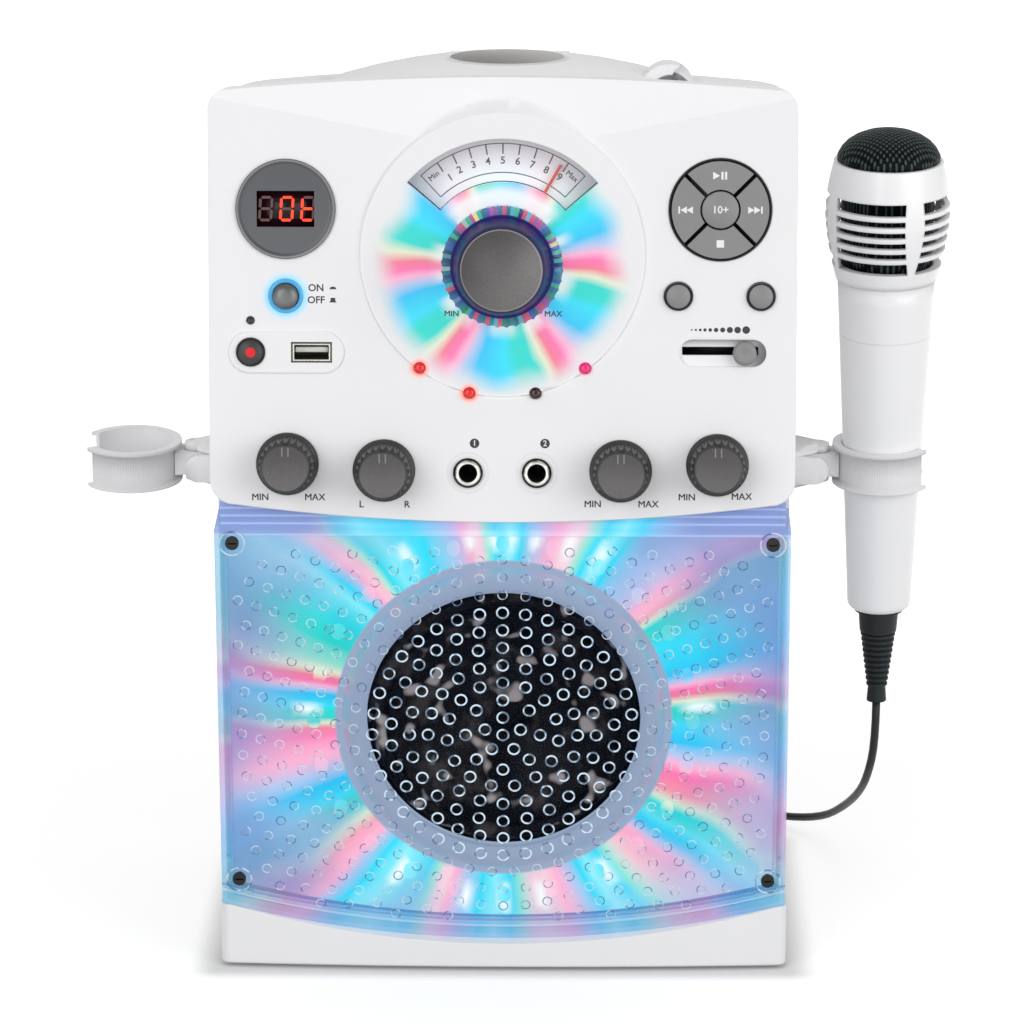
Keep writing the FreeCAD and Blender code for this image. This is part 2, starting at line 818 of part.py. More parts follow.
def base_plinth():
    block = Piece("plinth_block", keep=False)
    half = S.body_width / 2 - S.plinth_inset
    front = S.nose_y + S.plinth_front
    back = S.nose_y + S.body_depth
    corner = S.plinth_corner
    slab = block.draw("XY_Plane", S.foot_height)
    slab.outline([
        (-half + corner, front, 0.0, front - S.plinth_bow),
        (half - corner, front, *corner_arc(half, front, corner, -1, 1)),
        (half, front + corner),
        (half, back - S.cabinet_corner, *corner_arc(half, back, S.cabinet_corner, -1, -1)),
        (half - S.cabinet_corner, back),
        (-half + S.cabinet_corner, back, *corner_arc(-half, back, S.cabinet_corner, 1, -1)),
        (-half, back - S.cabinet_corner),
        (-half, front + corner, *corner_arc(-half, front, corner, 1, 1)),
    ])
    block.pad(slab, S.plinth_height - S.foot_height)
    slope = sine(S.cover_lean) / cosine(S.cover_lean)
    step = S.nose_y + S.cover_depth / cosine(S.cover_lean) + (S.nose_height - S.plinth_height) * slope
    shelf = block.draw("XY_Plane", S.plinth_height + 1)
    shelf.box(-half - 1, step, half + 1, back + 1)
    block.pocket(shelf, S.plinth_height + 1 - S.plinth_deck)
    rim = 3 * S.wall
    hollow = block.draw("XY_Plane", S.foot_height)
    hollow.box(-half + rim, front + rim, half - rim, back - rim)
    for x, y in foot_places():
        hollow.circle(x, y, S.foot_radius)
    block.pocket(hollow, S.plinth_cavity, flip=True)
    block.place(0.0, 0.0, 0.0)
    envelope = Piece("cover_envelope", keep=False)
    beyond = 3.0
    wide = S.cover_half_width + beyond
    low = S.cover_bottom - S.seam
    low_side = low + beyond * 2 * S.cover_sag / S.cover_half_width
    room = envelope.draw("XY_Plane", 10.0)
    room.outline([(-wide, S.cover_top), (-wide, low_side, 0.0, low - S.cover_sag), (wide, low_side),
                  (wide, S.cover_top)])
    envelope.pad(room, S.cover_depth + 20, flip=True)
    envelope.on_cover()
    keep_cut("base_plinth", block.body, envelope.body)


def foot_places():
    x = S.body_width / 2 - S.foot_inset
    return [(side * x, y) for side in (-1, 1)
            for y in (S.nose_y + S.plinth_front + S.foot_inset, S.nose_y + S.body_depth - S.foot_inset)]


def rubber_feet():
    piece = Piece("rubber_feet")
    feet = piece.draw()
    for x, y in foot_places():
        feet.circle(x, y, S.foot_radius)
    piece.pad(feet, S.foot_height)
    piece.place(0.0, 0.0, 0.0)


def speaker_cover():
    piece = Piece("speaker_cover")
    front = -S.cover_step
    piece.pad(piece.draw("XY_Plane", front).outline(cover_outline()), S.cover_depth - S.cover_step, flip=True)
    lip_half = S.cover_half_width - S.cover_lip_inset
    lip_low = S.cover_top - S.cover_face
    lip_side = S.panel_bow + S.cover_lip_height
    lip = piece.draw("XY_Plane", -S.cover_lip_set_back)
    lip.outline([(-lip_half, lip_low), (lip_half, lip_low), (lip_half, lip_side, 0.0, S.cover_lip_height),
                 (-lip_half, lip_side)])
    piece.pad(lip, S.cover_depth - S.cover_lip_set_back, flip=True)
    inner = S.cover_half_width - S.cover_wall
    low = S.cover_bottom + S.cover_wall
    hollow = piece.draw("XY_Plane", -S.cover_depth)
    hollow.outline([(-inner, S.cover_top - S.cover_wall), (-inner, low, 0.0, low - S.cover_sag),
                    (inner, low), (inner, S.cover_top - S.cover_wall)])
    piece.pocket(hollow, S.cover_depth - S.cover_face, flip=True)
    posts = piece.draw("XY_Plane", -S.cover_depth)
    for x, v in SCREWS:
        posts.circle(x, v, 2 * S.screw_shank + S.fit)
    piece.pocket(posts, S.cover_depth - S.cover_face, flip=True)
    lip_inner = lip_half - S.cover_wall
    lip_room = piece.draw("XY_Plane", -S.cover_depth)
    lip_room.outline([(-lip_inner, lip_low), (lip_inner, lip_low),
                      (lip_inner, lip_side - S.cover_wall, 0.0, S.cover_lip_height - S.cover_wall),
                      (-lip_inner, lip_side - S.cover_wall)])
    piece.pocket(lip_room, S.cover_depth - S.cover_lip_set_back - S.cover_wall, flip=True)
    piece.pad(piece.draw("XY_Plane", front).outline(cover_outline(S.cover_border)), S.cover_step)
    notches = piece.draw("XY_Plane")
    for x, v in SCREWS:
        notches.circle(x, v, S.screw_notch)
    piece.pocket(notches, S.cover_step)
    shanks = piece.draw("XY_Plane")
    for x, v in SCREWS:
        shanks.circle(x, v, S.screw_shank + S.fit)
    piece.pocket(shanks, S.cover_face + 1)
    sides = int(S.hole_sides.value)
    middle = piece.draw().outline(shifted(polygon(S.hole_radius, sides), 0.0, S.speaker_v))
    piece.pocket(middle, S.cover_face + 1)
    axis = piece.draw()
    axis.sketch.AttachmentOffset = FreeCAD.Placement()
    bind(axis.sketch, "AttachmentOffset.Base.y", S.speaker_v)
    axis_sketch = axis.done()
    for ring, count in enumerate(HOLE_COUNTS, start=1):
        hole = piece.draw().outline(shifted(polygon(S.hole_radius, sides), 0.0, S.speaker_v + ring * S.hole_pitch))
        piece.pattern(piece.pocket(hole, S.cover_face + 1), count, axis_sketch)
    piece.on_cover()


def cover_screws():
    piece = Piece("cover_screws")
    shanks = piece.draw("XY_Plane", -S.cover_step)
    heads = piece.draw("XY_Plane", -S.cover_step)
    for x, v in SCREWS:
        shanks.circle(x, v, S.screw_shank)
        heads.circle(x, v, S.screw_head)
    piece.pad(shanks, S.screw_length, flip=True)
    piece.pad(heads, 1.4)
    drive = piece.draw("XY_Plane", 1.0)
    for x, v in SCREWS:
        drive.box(x - 1.5, v - 0.3, x + 1.5, v + 0.3)
    piece.pocket(drive, 1.6)
    piece.on_cover()


def speaker_baffle():
    piece = Piece("speaker_baffle")
    plate = piece.draw("XY_Plane", -S.baffle_depth)
    plate.outline(cover_outline(S.cover_wall + S.fit)).circle(0.0, S.speaker_v, S.aperture_radius)
    piece.pad(plate, S.baffle_thickness, flip=True)
    posts = piece.draw("XY_Plane", -S.baffle_depth)
    for x, v in SCREWS:
        posts.circle(x, v, 2 * S.screw_shank)
    piece.pad(posts, S.baffle_depth - S.cover_face - S.seam)
    bores = piece.draw("XY_Plane")
    for x, v in SCREWS:
        bores.circle(x, v, S.screw_shank)
    piece.pocket(bores, S.cover_step + S.screw_length + 0.5)
    piece.on_cover()


def baffle_ring():
    piece = Piece("baffle_ring")
    low = -S.baffle_depth
    high = low + S.baffle_ring_height
    piece.turn([(S.aperture_radius, low), (S.baffle_ring_radius, low), (S.baffle_ring_radius - 1, high - 1.5),
                (S.baffle_ring_radius - 4, high), (S.aperture_radius + 2, high), (S.aperture_radius, high - 2)])
    piece.on_cover(0.0, S.speaker_v)


def disco_leds():
    piece = Piece("disco_leds")
    lamp = piece.draw("XY_Plane", -S.baffle_depth)
    lamp.outline(shifted(polygon(S.light_radius, 12), 0.0, S.light_ring_radius))
    made = piece.pad(lamp, S.light_height)
    piece.pattern(made, S.light_count, lamp.sketch)
    piece.on_cover(0.0, S.speaker_v)


def speaker_driver():
    back = S.baffle_depth + S.baffle_thickness
    flange_back = back + S.frame_flange_thickness
    rear = back + S.frame_depth
    frame = Piece("speaker_frame")
    frame.turn([(S.aperture_radius, -back), (S.frame_flange, -back), (S.frame_flange, -flange_back),
                (S.aperture_radius + 2, -flange_back), (S.frame_back + 2, -rear), (S.cone_throat + 3, -rear),
                (S.cone_throat + 3, -rear + 2), (S.frame_back, -rear + 2), (S.aperture_radius, -flange_back - 1)])
    window = frame.draw("XY_Plane", -flange_back - 0.2)
    window.outline(arc_band(S.frame_back + 3, S.aperture_radius - 2, 22.0))
    frame.pattern(frame.pocket(window, S.frame_depth - 6), 6, window.sketch)
    frame.on_cover(0.0, S.speaker_v)
    cone = Piece("speaker_cone")
    rim = S.aperture_radius - S.fit
    roll = rim - 4
    depth = back + S.cone_depth
    skin = 0.8
    edge = -back - 1.5
    cone.turn([(0.0, -depth + 5), *bowed((0.0, -depth + 6), (7.0, -depth + 5.2), (S.cone_throat, -depth + 2), 3),
               (S.cone_throat, -depth + 2), *bowed((roll - 4, edge), (roll, edge + 3.7), (rim, edge)),
               (rim, edge), (rim, edge - skin), (roll - 4, edge - skin), (S.cone_throat + 1, -depth),
               (S.cone_throat, -depth)])
    cone.on_cover(0.0, S.speaker_v)
    magnet = Piece("speaker_magnet")
    magnet.turn([(0.0, -rear), (S.magnet_radius - 1, -rear), (S.magnet_radius, -rear - 1),
                 (S.magnet_radius, -rear - S.magnet_depth + 1), (S.magnet_radius - 1, -rear - S.magnet_depth),
                 (0.0, -rear - S.magnet_depth)])
    magnet.on_cover(0.0, S.speaker_v)


def volume_dial():
    plate = Piece("dial_plate")
    plate.pad(plate.draw("XY_Plane", -S.dial_floor).outline(
        arc_band(S.dial_inner + S.seam, S.dial_outer - S.seam, S.dial_half_angle - 0.3)), S.dial_plate_thickness)
    plate.on_panel(0.0, S.dial_height)
    window = Piece("dial_window")
    window.pad(window.draw("XY_Plane", S.boss_proud - S.dial_window_thickness).outline(
        arc_band(S.dial_inner + S.seam, S.dial_outer - S.seam, S.dial_half_angle - 0.3)),
        S.dial_window_thickness)
    window.on_panel(0.0, S.dial_height)
    pointer = Piece("volume_pointer")
    low = -S.pointer_back
    half = S.pointer_width / 2
    tilt = S.pointer_rest
    arm = pointer.draw("XY_Plane", low)
    arm.outline([turned_by(corner, tilt) for corner in (
        (-half, S.pointer_hub - 1), (half, S.pointer_hub - 1), (half, S.pointer_reach), (-half, S.pointer_reach))])
    pointer.pad(arm, S.pointer_thickness)
    hub = pointer.draw("XY_Plane", low).circle(0.0, 0.0, S.pointer_hub)
    pointer.pad(hub, S.pointer_thickness + 1)
    pointer.pocket(pointer.draw("XY_Plane").circle(0.0, 0.0, S.shaft_radius + S.shaft_play), None)
    pointer.on_panel(0.0, S.dial_height)


def turned_by(corner, angle):
    """Turn a point clockwise, seen from the front."""
    x, y = corner
    return x * cosine(angle) + y * sine(angle), y * cosine(angle) - x * sine(angle)


def volume_knob():
    knob = Piece("volume_knob")
    low = S.boss_proud + S.volume_lift
    high = low + S.volume_height
    tip = -S.board_back + S.board_thickness + S.fit
    knob.turn([(0.0, tip), (S.shaft_radius, tip), (S.shaft_radius, low), (S.volume_body, low),
               (S.volume_body, low + S.volume_skirt_height), (S.volume_cap + 0.9, high - 1.4),
               (S.volume_cap, high), (0.0, high)])
    knob.on_panel(0.0, S.dial_height)
    skirt = Piece("volume_knob_ring")
    face = skirt.draw("XY_Plane", low)
    face.outline(star(S.volume_skirt, 0.8, int(S.volume_facets.value)))
    skirt.pad(face, S.volume_skirt_height)
    bore = skirt.draw("XY_Plane", high).circle(0.0, 0.0, S.volume_body + S.shaft_play)
    skirt.pocket(bore)
    skirt.on_panel(0.0, S.dial_height)


def small_knob(name, x, v):
    piece = Piece(name)
    low = S.knob_lift
    grip = low + S.knob_skirt_height
    high = low + S.knob_height
    tip = -S.board_back + S.board_thickness + S.fit
    piece.turn([(0.0, tip), (S.shaft_radius, tip), (S.shaft_radius, low), (S.knob_skirt, low),
                (S.knob_skirt, grip - 0.8), (S.knob_skirt - 0.8, grip), (S.knob_cap, grip),
                (S.knob_cap, high - 0.8), (S.knob_cap - 0.8, high), (0.0, high)])
    teeth = piece.draw("XY_Plane", grip - 0.5).outline(star(S.knob_grip, S.knob_tooth, int(S.knob_teeth.value)))
    made = piece.pad(teeth, S.knob_height - S.knob_skirt_height - 1.5)
    made.TaperAngle = -3.5
    mark = piece.draw("XY_Plane", high + 0.5)
    half = S.knob_mark / 2
    mark.outline([(-half, S.knob_grip + 1), (-half, 2.5, 0.0, 1.8), (half, 2.5), (half, S.knob_grip + 1)])
    piece.pocket(mark, 1.3)
    piece.on_panel(x, v)


def mic_jacks():
    piece = Piece("mic_jacks")
    half = S.jack_body / 2
    bodies = piece.draw("XY_Plane", -S.wall)
    bushes = piece.draw("XY_Plane", -S.wall)
    nuts = piece.draw()
    bores = piece.draw("XY_Plane", S.jack_proud + 1)
    for x, v in JACKS:
        bodies.box(x - half, v - half, x + half, v + half)
        bushes.circle(x, v, S.jack_bush)
        nuts.circle(x, v, S.jack_nut)
        bores.circle(x, v, S.jack_bore)
    piece.pad(bodies, S.jack_depth, flip=True)
    piece.pad(bushes, S.wall + S.jack_proud)
    piece.pad(nuts, S.jack_proud - 0.5)
    piece.pocket(bores, S.jack_proud + S.wall + S.jack_depth - 1)
    piece.on_panel()


def display():
    bezel = Piece("display_bezel")
    bezel.pad(bezel.draw().circle(0.0, 0.0, S.display_radius), S.display_flange)
    bezel.pad(bezel.draw().circle(0.0, 0.0, S.display_radius - S.display_flange - S.seam), S.wall, flip=True)
    wide = S.display_wide / 2
    tall = S.display_tall / 2
    bezel.pocket(bezel.draw("XY_Plane", S.display_flange + 1).box(-wide, -tall, wide, tall), None)
    bezel.on_panel(S.display_x, S.display_v)
    module = Piece("display_module")
    back = S.board_back - S.board_thickness
    module.pad(module.draw("XY_Plane", -back).box(-wide - 2, -tall - 2, wide + 2, tall + 2),
               back - S.wall - S.seam)
    module.pad(module.draw("XY_Plane", -S.wall - 1).box(-wide + S.seam, -tall + S.seam, wide - S.seam, tall - S.seam),
               S.wall + 0.7)
    module.on_panel(S.display_x, S.display_v)


def power_switch():
    ring = Piece("power_ring")
    inner = S.power_radius + S.fit
    proud = S.power_ring_proud
    ring.turn([(inner, -S.wall), (S.power_ring, -S.wall), (S.power_ring, proud - 0.4),
               (S.power_ring - 0.5, proud), (inner, proud - 0.2)])
    ring.on_panel(S.power_x, S.power_v)
    button = Piece("power_button")
    stem = S.power_radius - 1.6
    tip = -S.board_back + S.board_thickness + 3.0
    button.turn([(0.0, tip), (stem, tip), (stem, -S.wall - 3), (S.power_radius, -S.wall - 3),
                 *bowed((S.power_radius, S.power_proud - 1.6), (S.power_radius * 0.62, S.power_proud - 0.35),
                        (0.5, S.power_proud)), (0.5, S.power_proud), (0.0, S.power_proud)])
    button.on_panel(S.power_x, S.power_v)


def push_button(name, x, v, radius, proud):
    """A round push button with a bevelled edge and a stem toward its switch."""
    piece = Piece(name)
    tip = -S.board_back + S.board_thickness + 2.0
    piece.turn([(0.0, tip), (radius * 0.4, tip), (radius * 0.4, -S.wall - 1), (radius, -S.wall - 1),
                (radius, proud - 0.9), (radius - 0.9, proud), (0.0, proud)])
    piece.on_panel(x, v)


def indicator_leds():
    piece = Piece("indicator_leds")
    stems = piece.draw("XY_Plane", -S.board_back + S.board_thickness)
    domes = piece.draw()
    for x, v in LIGHTS:
        stems.circle(x, v, S.led_radius)
        domes.circle(x, v, S.led_radius)
    stems.circle(S.record_x, S.record_led_v, S.record_led_radius)
    domes.circle(S.record_x, S.record_led_v, S.record_led_radius)
    piece.pad(stems, S.board_back - S.board_thickness)
    made = piece.pad(domes, S.led_proud)
    made.TaperAngle = -35.0
    piece.on_panel()


def usb_port():
    piece = Piece("usb_port")
    wide = S.usb_wide / 2
    tall = S.usb_tall / 2
    front = S.pill_proud + 0.2
    piece.pad(piece.draw("XY_Plane", front).box(-wide, -tall, wide, tall), S.usb_depth + front, flip=True)
    mouth = piece.draw("XY_Plane", front)
    mouth.box(-wide + S.usb_shell, -tall + S.usb_shell, wide - S.usb_shell, tall - S.usb_shell)
    piece.pocket(mouth, S.usb_depth + front - 1.5)
    tongue = piece.draw("XY_Plane", -S.usb_depth + 1)
    tongue.box(-wide + 2 * S.usb_shell, 0.0, wide - 2 * S.usb_shell, S.usb_tongue)
    piece.pad(tongue, S.usb_depth - 1.5)
    piece.on_panel(S.usb_x, S.record_v)


def transport_pad():
    frame = Piece("pad_frame")
    inner = S.pad_radius - S.pad_rim
    frame.turn([(0.0, -S.pad_floor - 1.2), (S.pad_radius, -S.pad_floor - 1.2), (S.pad_radius, 0.5),
                (inner, 0.5), (inner, -S.pad_floor), (0.0, -S.pad_floor)])
    frame.on_panel(S.pad_x, S.pad_v)
    outer = inner - S.fit
    core = S.skip_radius + 2 * S.fit
    gap = S.pad_half_gap
    near = (root(core * core - gap * gap) - gap) * EIGHTH
    near_rise = (root(core * core - gap * gap) + gap) * EIGHTH
    far = (root(outer * outer - gap * gap) - gap) * EIGHTH
    far_rise = (root(outer * outer - gap * gap) + gap) * EIGHTH
    sector = [(-far, far_rise, 0.0, outer), (far, far_rise), (near, near_rise, 0.0, core), (-near, near_rise)]
    names = ("play_button", "previous_button", "stop_button", "next_button")
    for quarter, name in enumerate(names):
        button = Piece(name)
        corners = sector
        for _ in range(quarter):
            corners = [quarter_turn(corner) for corner in corners]
        button.pad(button.draw("XY_Plane", S.pad_proud).outline(corners), S.button_thickness, flip=True)
        button.on_panel(S.pad_x, S.pad_v)
    skip = Piece("skip_button")
    low = S.pad_proud - S.button_thickness
    skip.turn([(0.0, low), (S.skip_radius, low), (S.skip_radius, S.pad_proud - 0.4),
               (S.skip_radius - 0.5, S.pad_proud), (0.0, S.pad_proud)])
    skip.on_panel(S.pad_x, S.pad_v)


def quarter_turn(corner):
    """Turn a corner, and the middle of its arc, a quarter turn to the left."""
    moved = (-corner[1], corner[0])
    return moved if len(corner) == 2 else moved + (-corner[3], corner[2])


def light_slider():
    piece = Piece("light_slider")
    low = -S.slider_recess + S.fit
    high = S.thumb_proud
    piece.turn([(0.0, low), (S.thumb_radius, low), (S.thumb_radius, high - 0.8), (S.thumb_radius - 0.8, high),
                (S.thumb_radius - 2, high), (0.0, high - 0.8)])
    stem_v = S.slot_v - S.slider_v
    reach = S.slot_tall / 2 - S.fit
    stem = piece.draw("XY_Plane", low)
    stem.box(-1.4, stem_v - reach, 1.4, stem_v + reach)
    piece.pad(stem, 7.0, flip=True)
    piece.on_panel(S.thumb_x, S.slider_v)


def control_board():
    piece = Piece("control_board")
    board = piece.draw("XY_Plane", -S.board_back)
    half = S.board_half_width
    notch = S.board_notch_x
    board.outline([(-half, S.board_low), (-notch, S.board_low), (-notch, S.board_notch_v), (notch, S.board_notch_v),
                   (notch, S.board_low), (half, S.board_low), (half, S.board_high), (-half, S.board_high)])
    piece.pad(board, S.board_thickness)
    face = -S.board_back + S.board_thickness
    pots = piece.draw("XY_Plane", face)
    for x, v in KNOBS.values():
        pots.circle(x, v, S.pot_radius)
    piece.pad(pots, -face - S.wall - S.seam)
    volume = piece.draw("XY_Plane", face).circle(0.0, S.dial_height, S.pot_radius)
    piece.pad(volume, -face - S.pointer_back - S.fit)
    bores = piece.draw()
    for x, v in (*KNOBS.values(), (0.0, S.dial_height)):
        bores.circle(x, v, S.shaft_radius + S.shaft_play)
    piece.pocket(bores, -face)
    fader = piece.draw("XY_Plane", face)
    fader.box(S.slider_left, S.slot_v - 4, S.slider_right, S.slot_v + 4)
    piece.pad(fader, 5.0)
    piece.on_panel()


def main_board():
    piece = Piece("main_board")
    wide = S.main_board_wide / 2
    low = S.main_board_low
    high = low + S.main_board_tall
    inside = S.nose_y + S.body_depth - S.wall
    board = piece.draw("XZ_Plane", -inside + S.main_board_post)
    board.box(-wide, low, wide, high)
    piece.pad(board, S.board_thickness)
    posts = piece.draw("XZ_Plane", -inside)
    for x in (-wide + 6, wide - 6):
        for z in (low + 6, high - 6):
            posts.circle(x, z, 3.0)
    piece.pad(posts, S.main_board_post)
    sink = piece.draw("XZ_Plane", -inside + S.main_board_post + S.board_thickness)
    for fin in range(5):
        sink.box(-20.0 + 9 * fin, low + 20, -15.0 + 9 * fin, high - 10)
    piece.pad(sink, S.heat_sink_depth)
    piece.place(0.0, 0.0, 0.0)


def disc_deck():
    piece = Piece("disc_deck")
    flange = S.lid_radius - S.lid_wall - 2 * S.fit
    outer = S.well_radius - S.seam
    inner = outer - S.deck_wall
    floor = S.well_floor
    top = S.platform_top + 1.2
    piece.turn([(S.spindle_radius + 2, floor), (S.spindle_radius + 2, floor - S.deck_wall),
                (outer, floor - S.deck_wall), (outer, S.platform_top), (flange, S.platform_top),
                (flange, top), (inner, top), (inner, floor)])
    slot = piece.draw("XY_Plane", floor + 1)
    slot.box(S.sled_start - 11, -6.0, S.sled_start + S.sled_travel + 4, 6.0)
    piece.pocket(slot, S.deck_wall + 2)
    for start in (S.rail_start, S.rail_end - 3):
        post = piece.draw("XY_Plane", floor - S.deck_wall)
        for side in (-1, 1):
            near = side * S.rail_spread
            post.box(start, near - 3, start + 3, near + 3)
        piece.pad(post, S.rail_drop + 3, flip=True)
    rails = piece.draw("YZ_Plane", S.rail_start - 1)
    for side in (-1, 1):
        rails.circle(side * S.rail_spread, floor - S.deck_wall - S.rail_drop, S.rail_radius)
    piece.pocket(rails, S.rail_end, flip=True)
    piece.place(0.0, S.lid_y, 0.0)


def disc_drive():
    floor = S.well_floor - S.deck_wall
    motor = Piece("spindle_motor")
    motor.turn([(0.0, floor - S.motor_height), (S.motor_radius - 1, floor - S.motor_height),
                (S.motor_radius, floor - S.motor_height + 1), (S.motor_radius, floor), (S.spindle_radius + 1.5, floor),
                (S.spindle_radius + 1.5, floor + 0.8), (S.spindle_radius + S.shaft_play, floor + 0.8),
                (S.spindle_radius + S.shaft_play, floor - 5), (0.0, floor - 5)])
    motor.place(0.0, S.lid_y, 0.0)
    hub = Piece("spindle_hub")
    low = S.well_floor + S.fit
    hub.turn([(0.0, floor - 4.7), (S.spindle_radius, floor - 4.7), (S.spindle_radius, low), (S.hub_seat, low),
              (S.hub_seat, low + 1.6), (S.hub_radius, low + 1.6), (S.hub_radius, low + S.hub_height - 2),
              (S.hub_radius - 2, low + S.hub_height), (0.0, low + S.hub_height)])
    for turn in range(3):
        ball = hub.draw("XY_Plane", low + 1.6)
        x, y = turned_by((S.hub_radius - 0.6, 0.0), 120.0 * turn)
        ball.circle(x, y, 1.1)
        hub.pad(ball, 1.6)
    hub.place(0.0, S.lid_y, 0.0)
    rail_z = floor - S.rail_drop
    rails = Piece("pickup_rails")
    rods = rails.draw("YZ_Plane", S.rail_start)
    for side in (-1, 1):
        rods.circle(side * S.rail_spread, rail_z, S.rail_radius)
    rails.pad(rods, S.rail_end - S.rail_start)
    rails.place(0.0, S.lid_y, 0.0)
    sled = Piece("pickup_sled")
    high = floor - S.fit
    body = sled.draw("XY_Plane", high)
    long_half = S.sled_long / 2
    body.box(S.sled_start - long_half, -S.sled_wide / 2, S.sled_start + long_half, S.sled_wide / 2)
    sled.pad(body, S.rail_drop + 3, flip=True)
    bores = sled.draw("YZ_Plane", S.sled_start)
    for side in (-1, 1):
        bores.circle(side * S.rail_spread, rail_z, S.rail_radius + S.shaft_play)
    sled.pocket(bores, 2 * S.sled_long, both=True)
    lens = sled.draw("XY_Plane", high).circle(S.sled_start, 0.0, 3.4)
    sled.pad(lens, S.deck_wall)
    sled.place(0.0, S.lid_y, 0.0)


def dome_drop(radius):
    """How far the lid's dome falls from its top at a radius."""
    return S.lid_dome - root(S.lid_dome * S.lid_dome - radius * radius)


def disc_lid():
    piece = Piece("cd_lid")
    seat = S.lid_window_radius + S.seam
    hole = S.lid_window_radius - S.lid_seat
    rim = S.lid_radius - 1.5
    middle = (seat + rim) / 2
    skin = S.lid_wall
    inner = S.lid_radius - skin
    under = S.lid_top - skin
    top_rim = S.lid_top - dome_drop(rim)
    inner_mid = (hole + inner) / 2
    piece.turn([
        *bowed((seat, S.lid_top - dome_drop(seat)), (middle, S.lid_top - dome_drop(middle)), (rim, top_rim)),
        (rim, top_rim),
        (S.lid_radius, top_rim - 1.5),
        (S.lid_radius, S.lid_rim),
        (inner, S.lid_rim),
        *bowed((inner, under - dome_drop(inner)), (inner_mid, under - dome_drop(inner_mid)),
               (hole, under - dome_drop(hole))),
        (hole, under - dome_drop(hole)),
        (hole, S.lid_top - dome_drop(seat) - S.lid_window_thickness),
        (seat, S.lid_top - dome_drop(seat) - S.lid_window_thickness),
    ])
    arch_mid = (S.hood_left + S.hood_right) / 2
    hood = piece.draw("XZ_Plane", -S.hood_front)
    hood.outline([(S.hood_left, S.lid_rim + 6, arch_mid, S.hood_top), (S.hood_right, S.lid_rim + 1),
                  (S.hood_left, S.lid_rim + 4)])
    piece.pad(hood, S.hood_depth, flip=True)
    hollow = piece.draw("XZ_Plane", -S.hood_front + 1)
    hollow.outline([(S.lid_radius - 6, S.lid_rim + 6.2, arch_mid + 3, S.hood_top - S.hood_wall),
                    (S.hood_right - S.hood_wall, S.lid_rim + 1.5), (S.lid_radius - 2.2, S.lid_rim + 5)])
    piece.pocket(hollow, S.hood_depth - 2)
    tongue = piece.draw("YZ_Plane")
    arm_y = S.lid_radius - 1.8
    hinge_y = S.hinge_y - S.lid_y
    barrel = S.hinge_barrel
    tongue.outline([(arm_y, S.hinge_z - 1.5), (hinge_y, S.hinge_z - barrel, hinge_y + barrel, S.hinge_z),
                    (hinge_y, S.hinge_z + barrel), (arm_y, S.hinge_z + 1.0)])
    piece.pad(tongue, 2 * S.hinge_half_width, both=True)
    bore = piece.draw("YZ_Plane").circle(hinge_y, S.hinge_z, S.hinge_pin + S.shaft_play)
    piece.pocket(bore, 3 * S.hinge_half_width, both=True)
    piece.place(0.0, S.lid_y, 0.0)
    window = Piece("lid_window")
    low = S.lid_top - dome_drop(seat) - S.lid_window_thickness
    edge = S.lid_top - dome_drop(seat)
    half = S.lid_window_radius / 2
    crown = (1.0, S.lid_top - 0.02)
    window.turn([(0.0, low), (S.lid_window_radius, low),
                 *bowed((S.lid_window_radius, edge), (half, S.lid_top - dome_drop(half)), crown), crown,
                 (0.0, S.lid_top - 0.02)])
    window.place(0.0, S.lid_y, 0.0)
    pins = Piece("lid_hinge_pins")
    length = S.hinge_ear + 8
    for side in (-1, 1):
        start = S.hinge_half_width + S.fit + S.hinge_ear - 1 - length / 2
        rod = pins.draw("YZ_Plane", side * start).circle(S.hinge_y, S.hinge_z, S.hinge_pin)
        pins.pad(rod, length, both=True)
    pins.place(0.0, 0.0, 0.0)


def rear_sockets():
    piece = Piece("rear_sockets")
    back = S.nose_y + S.body_depth
    flanges = piece.draw("XZ_Plane", -back)
    barrels = piece.draw("XZ_Plane", -back)
    bores = piece.draw("XZ_Plane", -back - S.socket_proud - 1)
    for column in range(4):
        x = -(column - 1.5) * S.socket_pitch
        flanges.circle(x, S.socket_z, S.socket_radius)
        barrels.circle(x, S.socket_z, S.socket_radius - 1.2 - S.seam)
        bores.circle(x, S.socket_z, S.socket_bore)
    piece.pad(flanges, S.socket_proud, flip=True)
    piece.pad(barrels, S.wall + 8)
    piece.pocket(bores, S.socket_proud + 9, flip=True)
    piece.place(0.0, 0.0, 0.0)


def mic_clip(name, side):
    """An open ring with flanged rims and an arm that plugs into its bracket."""
    piece = Piece(name)
    half = S.clip_height / 2
    web = S.clip_bore + S.clip_wall
    edge = web + S.clip_flange
    lip = half - S.clip_flange_thickness
    facing = -side
    ring = [(S.clip_bore, -half), (edge, -half), (edge, -lip), (web, -lip), (web, lip), (edge, lip), (edge, half),
            (S.clip_bore, half)]
    piece.turn([(facing * r, z) for r, z in ring], both=True, angle=360 - S.clip_gap)
    reach = S.clip_x - S.body_width / 2 + S.cabinet_inset
    end = reach - S.bracket_plate - S.fit
    arm = piece.draw("XY_Plane", -S.clip_arm_height / 2)
    wide = S.clip_arm_width / 2
    near = web - 0.5
    corners = [(near, -wide), (end, -wide + 1.5), (end, wide - 1.5), (near, wide)]
    arm.outline([(facing * x, y) for x, y in corners])
    piece.pad(arm, S.clip_arm_height)
    bore = piece.draw("XY_Plane").circle(0.0, 0.0, S.clip_bore)
    piece.pocket(bore, 2 * S.clip_height, both=True)
    piece.at_clip(side)


